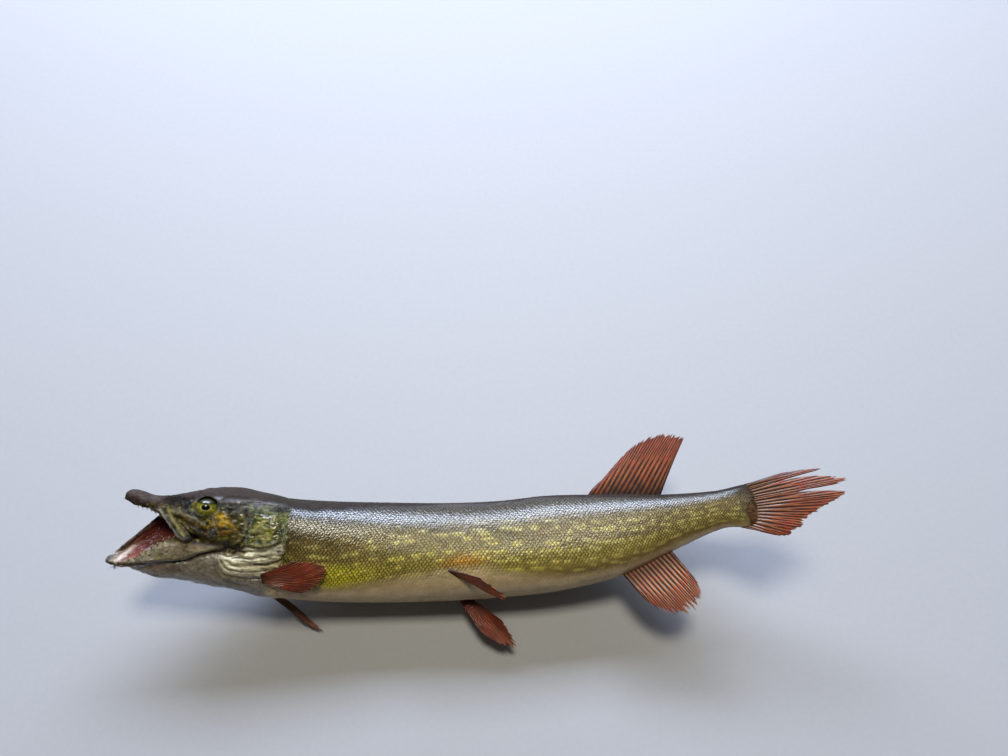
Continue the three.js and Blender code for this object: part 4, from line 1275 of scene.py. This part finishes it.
def scaleRoots(c, rng):
    s, column, roots = float(c["from"]), 0, []
    while s < c["to"]:
        size = float(scaleSize(s))
        half = float(np.interp(s, scaleMarks, girthHalf))
        wide = float(np.interp(s, scaleMarks, widestShare)) * half
        pitch = c["rowPitch"] * size
        first, last = math.ceil(-wide / pitch - 0.4), math.floor((half - wide) / pitch + 0.4)
        rows = np.arange(first, last + 1) + 0.5 * (column % 2)
        share = (wide + rows * pitch) / half
        slant = 0.9 * np.sin(share * 5.1) - 0.8
        spot = s + slant + rng.normal(0, 0.1, len(rows))
        share = share + rng.normal(0, 0.06, len(rows)) * pitch / half
        keep = (share > -0.004) & (share < 1.004)
        # the head and the gill cover lie over the first scales
        start = np.where(share < 0.22, 97, np.where(share < 0.62, 101.5, 97))
        end = np.interp(share, [0, 0.3, 0.5, 0.75, 1], [445, 444, 441, 438.5, 438])
        end = end + rng.normal(0, 1.0, len(rows))
        keep &= (spot > start) & (spot < end)
        roots.append(np.column_stack([spot, share, np.full(len(rows), size)])[keep])
        s += c["pitch"] * size * 0.5
        column += 1
    return np.vstack(roots)


def scaleShapes(roots, side, c, rng):
    # every scale is a thin domed plate that follows the body under it
    each = (len(roots), 1, 1)
    u = np.linspace(0, 1, c["lengthSteps"])[:, None]
    v = np.linspace(-1, 1, c["widthSteps"])
    outline = np.sqrt(np.clip(1 - np.clip((u - 0.38) / 0.66, 0, 1) ** 2.8, 0.05, 1))
    outline = outline * (0.72 + 0.28 * step(0, 0.4, u))
    s0, share0, size = roots.T[:, :, None, None]
    length = c["pitch"] * size * c["overlap"]
    width = c["rowPitch"] * size * c["spread"] * 0.5
    turn = rng.normal(0, 0.03, each)
    uu = (u - 0.5) * length + 0 * v
    vv = outline * v * width
    s = s0 + uu + vv * turn
    share = share0 + (vv - uu * turn) / np.interp(s0, scaleMarks, girthHalf)
    spot = onBody(s, share)
    ahead = onBody(s, share + 0.003) - onBody(s, share - 0.003)
    normal = unit(np.stack([ahead[..., 1], -ahead[..., 0]], -1))
    soft = size * (0.35 + 0.65 * step(0.80, 0.70, share0))   # the belly is nearly smooth
    rise = c["rise"] * soft * (1 + rng.normal(0, 0.12, each))
    dome = c["dome"] * soft * (1 + rng.normal(0, 0.15, each))
    tilt = rng.normal(0, 0.03, each)
    height = (-c["sunk"] + (c["sunk"] + rise) * u ** 0.9
              + dome * (1 - v ** 2) * np.sin(np.pi * np.clip(u * 0.9 + 0.12, 0, 1)) + tilt * v)

    def lifted(height):
        y = spot[..., 0] + normal[..., 0] * height
        z = np.maximum(spot[..., 1] + normal[..., 1] * height, 0.0) * side
        return np.stack([s, y, z], -1).reshape(len(roots), -1, 3)

    return lifted(height), lifted(height - c["thick"])


plates = {
    # the rim is the darker colour of the skirt under a plate's free edge: painted shade
    "rim": 0.6,                 # colour of the edge as a share of the top's
    "patch": (0.003, 0.0015),   # size of one plate on the bake map
    "mapFrom": 50,              # the part of the fish that the map covers, mm
    "mapLength": 405,
    "triangles": 190000,        # in one piece
}


def plateGrid(rows, columns):
    # the grid of one plate, its free edge round the tip, and its faces with a skirt below that edge
    u, v = np.meshgrid(np.linspace(0, 1, rows), np.linspace(-1, 1, columns), indexing="ij")
    first = rows // 2
    loop = [(i, 0) for i in range(first, rows)]
    loop += [(rows - 1, j) for j in range(1, columns)]
    loop += [(i, columns - 1) for i in range(rows - 2, first - 1, -1)]
    loop = np.array([i * columns + j for i, j in loop])
    count, m = rows * columns, len(loop)
    skirt = [[count + k, count + k + 1, count + m + k + 1, count + m + k] for k in range(m - 1)]
    return u.ravel(), v.ravel(), loop, np.concatenate([gridFaces(rows, columns), skirt])


def plateMeshes(side, grid, points, tint, gloss, s, down):
    # plates as meshes of a limited size; each is a small patch on the bake map
    u, v, loop, faces = grid
    # the skirt under the free edge is painted darker, and its lower ring darker again: painted shade
    rim = tint[:, loop] * plates["rim"]
    colours = np.concatenate([tint, rim, rim * plates["rim"]], axis=1)
    long, high = plates["patch"]
    patchU = (np.concatenate([u, u[loop], u[loop] + 0.04]) - 0.5) * long
    patchV = np.concatenate([v, v[loop], v[loop] * 1.05]) * high
    acrossMap = 0.5 - 0.25 * side + 0.24 * side * down
    alongMap = 0.01 + 0.98 * (s - plates["mapFrom"]) / plates["mapLength"]
    spots = np.stack([alongMap[:, None] + patchU, acrossMap[:, None] + patchV], -1)
    faces = faces if side > 0 else faces[:, ::-1]
    perPiece = plates["triangles"] // (2 * len(faces))
    for first in range(0, len(points), perPiece):
        some = slice(first, first + perPiece)
        starts = np.arange(len(points[some])) * points.shape[1]
        quads = (faces[None] + starts[:, None, None]).reshape(-1, 4)
        mesh = makeMesh("scales", carry(points[some].reshape(-1, 3)), quads)
        paintMesh(mesh, colours[some].reshape(-1, 3), gloss[some].ravel())
        bakeMap = mesh.uv_layers.new(name="OFBake")
        flat = spots[some].reshape(-1, 2)[quads.ravel()]
        bakeMap.data.foreach_set("uv", flat.astype(np.float32).ravel())
        yield mesh


def buildScales(c):
    rng = np.random.default_rng(11)
    grid = plateGrid(c["lengthSteps"], c["widthSteps"])
    u, v, loop, _ = grid
    sides = np.abs(v)
    # edge marks where each plate is painted darker, painted shade between the overlapping plates; middle
    # marks a lighter spot, a painted highlight
    edge = np.maximum(step(0.55, 1.0, u), step(0.45, 1.0, sides) * step(0.2, 0.6, u))
    middle = np.exp(-((u - 0.70) / 0.2) ** 2 - (v / 0.5) ** 2)
    bare = np.maximum(step(0.72, 0.95, u), step(0.55, 0.9, sides) * step(0.2, 0.6, u))
    gloss = np.concatenate([1 - 0.9 * bare, np.full(2 * len(loop), 0.1)])
    for side, label in ((1, "left"), (-1, "right")):
        roots = scaleRoots(c, rng)
        roots = roots[np.argsort(roots[:, 0], kind="stable")]
        top, under = scaleShapes(roots, side, c, rng)
        points = np.concatenate([top, top[:, loop], under[:, loop]], axis=1)
        centre = top.mean(axis=1)
        tint = trunkTint(centre)[:, None] * 0.45 + trunkTint(top.reshape(-1, 3)).reshape(top.shape) * 0.55
        angle = aroundAngle(centre)
        soft = (step(2.35, 2.05, angle) * step(0.35, 0.8, angle))[:, None]
        # each plate's tone differs at random; it is painted darker towards its edges as painted shade and
        # lighter in its middle as a painted highlight, most of all on the flank
        shade = 1 + 0.10 * rng.normal(0, 1, (len(roots), 1)) * soft
        shade = shade * (1 - (0.72 * soft + 0.16) * edge) * (1 + 0.4 * soft * middle)
        wet = wetness(points.reshape(-1, 3)).reshape(points.shape[:2]) * gloss
        down = 0.02 + 0.96 * np.clip(roots[:, 1], 0, 1)
        meshes = plateMeshes(side, grid, points, tint * shade[..., None], wet, roots[:, 0], down)
        for number, mesh in enumerate(meshes):
            addPiece(f"scales_{label}_{number + 1}", mesh, scaleMaterial)
        print("scales", label + ":", len(roots))


buildScales(coat)

faceCoat = {
    # name: (from s, to s, from y, to y), the plates follow the skin below them
    "regions": {"cheek": (56.5, 73.5, 3.5, 26), "cover": (80, 98.5, 11, 27)},
    "pitch": 1.55,
    "rowPitch": 1.5,
    "overlap": 1.5,
    "rise": 0.13,
    "dome": 0.1,
    "sunk": 0.14,
    "thick": 0.3,
    "steps": 5,
    "farOut": 60,       # where the search for the skin starts
    "tallest": 1.6,     # plates over a fold or a steep place are left out
    "steepest": 0.5,
}


def faceRoots(c, rng):
    roots = []
    for fromS, toS, fromY, toY in c["regions"].values():
        columns = np.arange(fromS, toS, c["pitch"] / 2)
        for k, s in enumerate(columns):
            y = np.arange(fromY, toY, c["rowPitch"]) + 0.5 * c["rowPitch"] * (k % 2)
            roots.append(np.column_stack([np.full(len(y), s), y]))
    roots = np.vstack(roots)
    return roots + rng.normal(0, 0.07, roots.shape)


def buildFaceScales(c, underneath):
    rng = np.random.default_rng(17)
    tree = BVHTree.FromObject(underneath, bpy.context.evaluated_depsgraph_get())
    grid = plateGrid(c["steps"], c["steps"])
    u, v, loop, _ = grid
    outline = np.sqrt(np.clip(1 - np.clip((u - 0.35) / 0.7, 0, 1) ** 2.6, 0.06, 1))
    shape = np.stack([(u - 0.5) * c["pitch"] * c["overlap"], v * outline * c["rowPitch"] * 0.5], -1)
    height = -c["sunk"] + (c["sunk"] + c["rise"]) * u + c["dome"] * (1 - v * v) * np.sin(np.pi * u)
    edge = np.maximum(step(0.6, 1.0, u), step(0.5, 1.0, np.abs(v)))
    gloss = np.concatenate([1 - 0.6 * edge, np.full(2 * len(loop), 0.2)])
    for side, label in ((1, "left"), (-1, "right")):
        roots = faceRoots(c, rng)
        spots = roots[:, None, :] + shape
        level = np.full(spots.shape[:2], np.nan)
        steep = np.zeros(len(roots))
        for i, plateSpots in enumerate(spots):
            for j, (s, y) in enumerate(plateSpots):
                start = Vector((s, y, side * c["farOut"]))
                hit, normal, _, _ = tree.ray_cast(start, Vector((0, 0, -side)), c["farOut"])
                if hit is not None:
                    level[i, j] = abs(hit.z)
                    steep[i] = max(steep[i], 1 - abs(normal.z))
        reach = level.max(1) - level.min(1)
        keep = np.isfinite(reach) & (reach < c["tallest"]) & (steep < c["steepest"])
        spots, level, roots = spots[keep], level[keep], roots[keep]
        top = np.concatenate([spots, (side * (level + height))[..., None]], -1)
        under = top - np.array([0, 0, side * c["thick"]])
        points = np.concatenate([top, top[:, loop], under[:, loop]], axis=1)
        flatTop = top.reshape(-1, 3)
        tint = headTint(flatTop, np.repeat([[0.0, 0.0, side]], len(flatTop), 0)).reshape(top.shape)
        tint = 0.5 * tint + 0.5 * tint.mean(1, keepdims=True)
        # the plates are painted darker towards their edges, painted shade between them, and their tone
        # differs at random
        tint = tint * (1 - 0.5 * edge)[:, None] * (1 + rng.normal(0, 0.1, (len(top), 1, 1)))
        down = np.clip((40 - roots[:, 1]) / 75, 0, 1)
        for mesh in plateMeshes(side, grid, points, tint, np.tile(gloss, (len(top), 1)), roots[:, 0], down):
            addPiece(f"face_scales_{label}", mesh, scaleMaterial)
        print("face scales", label + ":", len(top))


underneath = addObject("underneath", straightMesh)
buildFaceScales(faceCoat, underneath)
bpy.data.objects.remove(underneath)

teeth = {
    "lower": (9, 54, 13),     # from, to, how many on each side
    "upper": (3, 18, 6),
    "long": 1.5,
    "short": 0.8,
    "thick": 0.55,
}


def buildTeeth(c):
    rng = np.random.default_rng(23)
    around, rings = 8, np.linspace(0, 1, 6)
    points, faces, colours = [], [], []
    angle = roundAngles(around)

    def tooth(base, lean, length, thick):
        # a curved cone with a rounded tip
        start = sum(len(p) for p in points)
        grid = []
        for t in rings:
            radius = thick * (1 - t ** 1.4) + 0.06
            middle = base + lean * length * t + np.array([0.25 * length * t * t, 0, 0])
            grid.append(ringAt(middle, radius, angle))
        ends = [np.repeat(grid[k].mean(0)[None], around, 0) for k in (0, -1)]
        grid = np.concatenate([ends[0], *grid, ends[1]])
        points.append(grid)
        faces.append(gridFaces(len(rings) + 2, around, closed=True, start=start))
        shade = np.repeat(np.concatenate([[0], rings, [1]]), around)
        colours.append(between("toothRoot", "tooth", step(0.3, 0.7, shade)))

    for side in (1, -1):
        for k, u in enumerate(np.linspace(*c["lower"])):
            rim = jawShape(np.array([u]))
            z = side * rim["width"][0] * 0.9
            size = c["short"] if k % 2 else c["long"]
            base = np.array([u, rim["top"][0] - 2.0, z])
            local = np.array([0.1, 1.0, -0.12 * side])
            foot = carryJaw(base[None])[0]
            way = carryJaw((base + local)[None])[0] - foot
            tooth(foot, way / np.linalg.norm(way), size + 1.4 + rng.normal(0, 0.15), c["thick"])
        for s in np.linspace(*c["upper"]):
            shape = skullShape(np.array([s]))
            base = np.array([s, shape["bottom"][0] + 1.2, side * shape["width"][0] * 0.72])
            tooth(base, np.array([0.2, -1.0, 0.0]), c["short"] + 1.0, c["thick"] * 0.8)
    mesh = makeMesh("teeth", carry(np.vstack(points)), np.vstack(faces))
    paintMesh(mesh, np.vstack(colours))
    addPiece("teeth", mesh, toothMaterial)
    print("teeth are set")


buildTeeth(teeth)

tuft = {"place": (-6.8, -20.2, 1.0), "hairs": 9, "length": 3.4, "thick": 0.22, "rings": 7, "around": 6}


def buildTuft(c):
    # a few dark shreds left hanging below the chin
    rng = np.random.default_rng(29)
    points, faces = [], []
    angle = roundAngles(c["around"])
    for k in range(c["hairs"]):
        way = np.array([rng.normal(0, 0.45), -1.0, rng.normal(0, 0.35)])
        base = np.array(c["place"]) + rng.normal(0, 0.5, 3) * [1, 0.3, 1]
        rng.random(c["rings"])   # keeps the shapes of the later shreds
        rows = []
        for t in np.linspace(0, 1, c["rings"]):
            radius = 0 if t in (0, 1) else c["thick"] * (1 - 0.8 * t)
            middle = base + way * c["length"] * t
            middle = middle + np.array([0.4 * np.sin(5 * t + k), 0, 0.3 * np.sin(4 * t + 2 * k)])
            rows.append(ringAt(middle, radius, angle))
        points.append(np.concatenate(rows))
        start = c["rings"] * c["around"] * k
        faces.append(gridFaces(c["rings"], c["around"], closed=True, start=start))
    mesh = makeMesh("tuft", carry(np.vstack(points)), np.vstack(faces))
    paintMesh(mesh, np.repeat(palette["shred"][None], len(mesh.vertices), 0))
    addPiece("chin_tuft", mesh, finMaterial)
    print("the chin's shreds hang")


buildTuft(tuft)

# fins
medianFins = {
    # rows: share of the root, ray angle in degrees, ray length
    "dorsal_fin": {
        "from": 327, "to": 381, "side": 1, "bow": 1.5, "rays": 14,
        "rows": [[0, 31, 11], [0.12, 43, 29.5], [0.28, 46.3, 46], [0.5, 45.6, 53], [0.75, 47, 51.5],
                 [0.9, 48.5, 48.5], [1, 53.5, 44.8]],
        "ragged": 0.05, "splits": [(0.62, 0.06), (0.8, 0.05)],
        "darkRoot": 0.42, "paleTip": 0.0, "brown": 0.6,
    },
    "anal_fin": {
        "from": 343, "to": 380.5, "side": -1, "bow": 1.0, "rays": 13,
        "rows": [[0, 56, 26], [0.15, 57, 38], [0.4, 57, 43.5], [0.65, 56.5, 43.5], [0.85, 56, 36.5],
                 [1, 58.5, 28.5]],
        "ragged": 0.12, "splits": [(0.35, 0.14), (0.52, 0.1), (0.7, 0.12)],
        "darkRoot": 0.0, "paleTip": 0.25, "brown": 0.45,
    },
}
tailFin = {
    "root": 432, "half": 13.5, "bow": 1.2, "rays": 19,
    # share from the top ray to the bottom ray, tip s, tip y
    "rows": [
        [0, 470, 17.8], [0.05, 493, 15.6], [0.1, 488, 14.4], [0.15, 474, 13.4], [0.2, 489, 11.4],
        [0.27, 505, 6.2], [0.34, 503, 3.4], [0.4, 489, 3], [0.46, 504, -2.4], [0.54, 497, -6.6],
        [0.62, 486, -12.2], [0.7, 476, -16], [0.78, 471.5, -20.4], [0.86, 463, -24.4],
        [0.93, 456, -23.4], [1, 449, -20.4],
    ],
    "ragged": 0.06, "splits": [(0.15, 0.3), (0.405, 0.3), (0.66, 0.1), (0.82, 0.12)],
    "darkRoot": 0.2, "paleTip": 0.2, "brown": 1.0,
}
pairedFins = {
    # root line and the points of the far edge, in body coordinates
    "pectoral_fin_left": {
        "root": [(90, -13, 24), (92, -20, 21.5)],
        "far": [(111, -1, 29.5), (129, -3.5, 30.5), (135, -9, 30), (131, -19, 28), (119, -25, 24.5)],
        "bow": 1.0, "rays": 13, "ragged": 0.05, "splits": [(0.3, 0.08)],
        "darkRoot": 0.25, "paleTip": 0.1, "brown": 0.0,
    },
    "pectoral_fin_right": {
        "root": [(89, -29, -12), (91, -33, -8)],
        "far": [(113, -43, -14), (126, -52, -14), (137, -61, -13), (123, -55, -10)],
        "bow": -0.5, "rays": 11, "ragged": 0.10, "splits": [(0.4, 0.2), (0.7, 0.2)],
        "darkRoot": 0.5, "paleTip": 0.3, "brown": 2.4,
    },
    "pelvic_fin_left": {
        "root": [(223, -21, 23), (227, -24, 20)],
        "far": [(246, -31.5, 30), (262, -43, 27), (260.5, -45.5, 22), (248, -37.5, 19.5)],
        "bow": 0.0, "rays": 10, "ragged": 0.10, "splits": [(0.4, 0.12), (0.7, 0.15)],
        "darkRoot": 0.35, "paleTip": 0.1, "brown": 0.5,
    },
    "pelvic_fin_right": {
        "root": [(226, -30, -12), (235, -30, -13)],
        "far": [(243, -57, -17), (255, -65, -19), (266, -66, -22), (257, -46.5, -24)],
        "bow": 0.0, "rays": 10, "ragged": 0.08, "splits": [(0.5, 0.12)],
        "darkRoot": 0.3, "paleTip": 0.15, "brown": 0.0,
    },
}
finMesh = {"perRay": 10, "along": 64, "thickRoot": 0.85, "thickTip": 0.28}


def medianRays(c, share):
    s = c["from"] + (c["to"] - c["from"]) * share
    shape = trunkShape(s)
    edge = shape["top"] if c["side"] > 0 else shape["bottom"]
    angle, length = np.radians(smooth(c["rows"], share, 1)), smooth(c["rows"], share, 2)
    root = edge - 3 * c["side"]
    tipY = root + c["side"] * (3 + length * np.sin(angle))
    return np.column_stack([s, root, 0 * s]), np.column_stack([s + length * np.cos(angle), tipY, 0 * s])


def tailRays(c, share):
    rootS, rootY = c["root"] + 4 * (1 - (2 * share - 1) ** 2), c["half"] * (1 - 2 * share)
    tipS, tipY = (smooth(c["rows"], share, k) for k in (1, 2))
    return np.column_stack([rootS, rootY, 0 * share]), np.column_stack([tipS, tipY, 0 * share])


def pairedRays(c, share):
    def along(rows):
        rows = [(i / (len(rows) - 1), *row) for i, row in enumerate(rows)]
        return np.column_stack([smooth(rows, share, k) for k in (1, 2, 3)])
    return along(c["root"]), along(c["far"])


def bothFaces(value):
    return np.concatenate([value, value[:, ::-1]], axis=1)


def finTint(c, flat, seed, phase, real, ridge, fromSide):
    # dark membrane and lighter rays, with browner, darker and paler places; the crest of each ray gets a
    # painted highlight
    fuzz = layered(flat, (3, 3, 3), seed)
    streakPlace = np.column_stack([np.repeat(phase, 2 * finMesh["along"]) * 3, real * 6, 0 * real])
    streak = noise(streakPlace, (0.6, 1.1, 1), seed + 5)
    rootShade = 0.9 * step(c["darkRoot"], 0, real + 0.12 * fuzz) if c["darkRoot"] else 0 * real
    return paint(
        between("finDark", "membrane", step(-0.5, 0.4, streak + 0.4 * fuzz)),
        ("ray", 0.95 * step(0.3, 0.7, ridge + 0.15 * fuzz)),
        ("rayHighlight", 0.7 * step(0.6, 1, ridge) * step(-0.2, 0.4, streak)),
        ("finRed", 0.6 * step(0.0, 0.6, fuzz - 0.3 * streak)),
        (between("finBrownDark", "finBrown", step(0.25, 0.75, ridge)),
         np.clip(c["brown"] * step(1.0, 0.1, real + 0.2 * fuzz), 0, 1)),
        ("finDark", rootShade),
        ("finPale", c["paleTip"] * step(0.8, 1.0, real + 0.1 * fuzz)),
        ("finDark", 0.6 * step(1.0, 0.2, fromSide)),
        ("finDark", 0.7 * step(0.86, 1.0, real + 0.1 * fuzz) * step(0.2, -0.3, streak)),
    )


def finPiece(name, c, raysAt, seed):
    rng = np.random.default_rng(seed)
    columns = c["rays"] * finMesh["perRay"] + 1
    share = np.linspace(0, 1, columns)
    t = np.linspace(0, 1, finMesh["along"])
    root, tip = raysAt(c, share)
    # every ray ends where it broke off; the membrane between them is torn back a little
    phase = share * c["rays"]
    branch = np.floor(phase * 4).astype(int)
    lots = rng.random(branch.max() + 2)
    onRay = 0.5 + 0.5 * np.cos(2 * np.pi * phase * 4)
    reach = 1 - c["ragged"] * (1.3 * lots[branch] ** 2 + 0.5 * onRay)
    for spot, depth in c["splits"]:
        reach = np.minimum(reach, 1 - depth * np.exp(-np.abs(share - spot) * c["rays"] * 2.2))
    reach += c["ragged"] * 0.3 * (rng.random(columns) - 0.5)
    reach = np.minimum(reach, 1.0)
    line = root[:, None] + (tip - root)[:, None] * (t[None, :, None] * reach[:, None, None])
    real = t[None, :] * reach[:, None]
    line[..., 2] += c["bow"] * np.sin(np.pi * real)
    # rays fork once on their way out
    one = 0.5 + 0.5 * np.cos(2 * np.pi * (phase - 0.5))
    two = 0.5 + 0.5 * np.cos(2 * np.pi * (2 * phase - 0.5))
    fork = step(0.45, 0.75, real)
    ridge = one[:, None] * (1 - fork) + two[:, None] * fork
    ripple = rng.random(6) * 6
    wave = sum(0.22 / (k + 1) * np.sin(share[:, None] * (7 + 6 * k) + real * (4 + 3 * k) + ripple[k])
               for k in range(4))
    normal = gridNormals(line)
    thick = (finMesh["thickRoot"] + (finMesh["thickTip"] - finMesh["thickRoot"]) * t ** 0.8)[None, :]
    thick = thick * (0.38 + 0.62 * ridge)
    fromSide = np.minimum(share, 1 - share)[:, None] * c["rays"]
    thick = thick * np.sqrt(np.clip(fromSide * 3 + 0.25, 0, 1))
    wave = wave * 0.35
    shell = [line + normal * (thick + wave)[..., None], line - normal * (thick - wave)[..., None]]
    points, faces = closedShell(*shell)
    grid = np.concatenate([shell[0], shell[1][:, ::-1]], axis=1)
    fields = [bothFaces(value).ravel() for value in (real, ridge, fromSide + 0 * ridge)]
    colour = finTint(c, grid.reshape(-1, 3), seed, phase, *fields)
    colour = np.clip(colour, 0, 1).reshape(grid.shape)
    colour = np.concatenate([colour[:1], colour, colour[-1:]]).reshape(-1, 3)
    mesh = makeMesh(name, carry(points), faces)
    paintMesh(mesh, colour)
    addPiece(name + "_rays", mesh, finMaterial, (name,))


for seed, (name, c) in enumerate(medianFins.items()):
    finPiece(name, c, medianRays, 100 + seed)
finPiece("tail_fin", tailFin, tailRays, 120)
for seed, (name, c) in enumerate(pairedFins.items()):
    finPiece(name, c, pairedRays, 130 + seed)
print("fins are on")

# eyes
eyeLook = {
    "gaze": (-0.02, 0.27, 1.0),
    "bulge": 0.35,
    "pupil": 0.37,       # angle from the gaze, radians
    "flat": 0.68,        # height of the pupil as a share of its length
    "ring": 0.05,
}


def eyeBall(side, c, rings=90, around=120):
    t = np.linspace(0.001, np.pi - 0.001, rings)[:, None]
    a = roundAngles(around)
    radius = eyes["radius"] + 0.3 + c["bulge"] * np.exp(-(t / 0.45) ** 2)
    out = radius * np.sin(t)
    local = np.stack([out * np.cos(a), out * np.sin(a), radius * np.cos(t) + 0 * a], -1)
    gaze = Vector((c["gaze"][0], c["gaze"][1], side * c["gaze"][2])).normalized()
    turn = np.array(gaze.to_track_quat("Z", "Y").to_matrix())
    flat = local.reshape(-1, 3)
    points = flat @ turn.T
    angle = np.repeat(t, around, 1).ravel() + 0.03 * noise(flat, 1.8, 7)
    turned = np.tile(a, rings)
    radial = noise(np.column_stack([np.cos(turned) * 9, np.sin(turned) * 9, angle * 2]), 1, 9)
    oval = np.hypot(flat[:, 0], flat[:, 1] / c["flat"]) / eyes["radius"] + step(1.0, 1.5, angle)
    ring = np.exp(-((oval - c["pupil"] - c["ring"]) / c["ring"]) ** 2)
    high = points[:, 1]
    # the top of the ball is painted dark, painted shade under the brow, and so is its edge where the lids
    # meet it; the pale ring round the pupil shows only below that shade
    colour = paint(
        between("iris", "irisGold", step(-0.2, 0.7, radial)),
        ("irisShade", 0.95 * step(2.9, 4.8, high + 0.6 * radial)),
        ("irisGreen", 0.7 * step(1.5, -3.0, high + 0.8 * radial)),
        ("irisShade", 0.8 * step(0.88, 1.05, angle)),
        ("pupilRing", 0.5 * ring * step(4.0, 1.5, high)),
        ("pupil", step(c["pupil"] + 0.02, c["pupil"] - 0.02, oval)),
    )
    points = points + np.array([eyes["s"], eyes["y"], side * eyes["z"]])
    faces = gridFaces(rings, around, closed=True)
    mesh = makeMesh("eye", carry(points), faces)
    paintMesh(mesh, colour)
    label = "left" if side > 0 else "right"
    addPiece(f"glass_eye_{label}", mesh, eyeMaterial, (f"eye_{label}",))


for side in (1, -1):
    eyeBall(side, eyeLook)
print("eyes are in")

# floor
floorLook = {"size": 9.0, "colour": tone("acabae"), "fleck": 0.07, "fleckSize": 260, "roughness": 0.62}


def addFloor(c):
    half = c["size"] / 2
    mesh = bpy.data.meshes.new("floor")
    corners = [(-half, -half, 0), (half, -half, 0), (half, half, 0), (-half, half, 0)]
    mesh.from_pydata(corners, [], [(0, 1, 2, 3)])
    material, nodes, links, surface = newMaterial("pale_floor")
    place = nodes.new("ShaderNodeTexCoord")
    fleck = addNoise(nodes, links, place, c["fleckSize"], 5, 0.7)
    mix = nodes.new("ShaderNodeMix")
    mix.data_type = "RGBA"
    links.new(fleck.outputs["Fac"], mix.inputs["Factor"])
    for socket, strength in (("A", 1 - c["fleck"]), ("B", 1 + c["fleck"])):
        mix.inputs[socket].default_value = (*(c["colour"] * strength), 1)
    links.new(mix.outputs["Result"], surface.inputs["Base Color"])
    surface.inputs["Roughness"].default_value = c["roughness"]
    mesh.materials.append(material)
    floor = addObject("floor", mesh)
    print("the floor is down")


addFloor(floorLook)
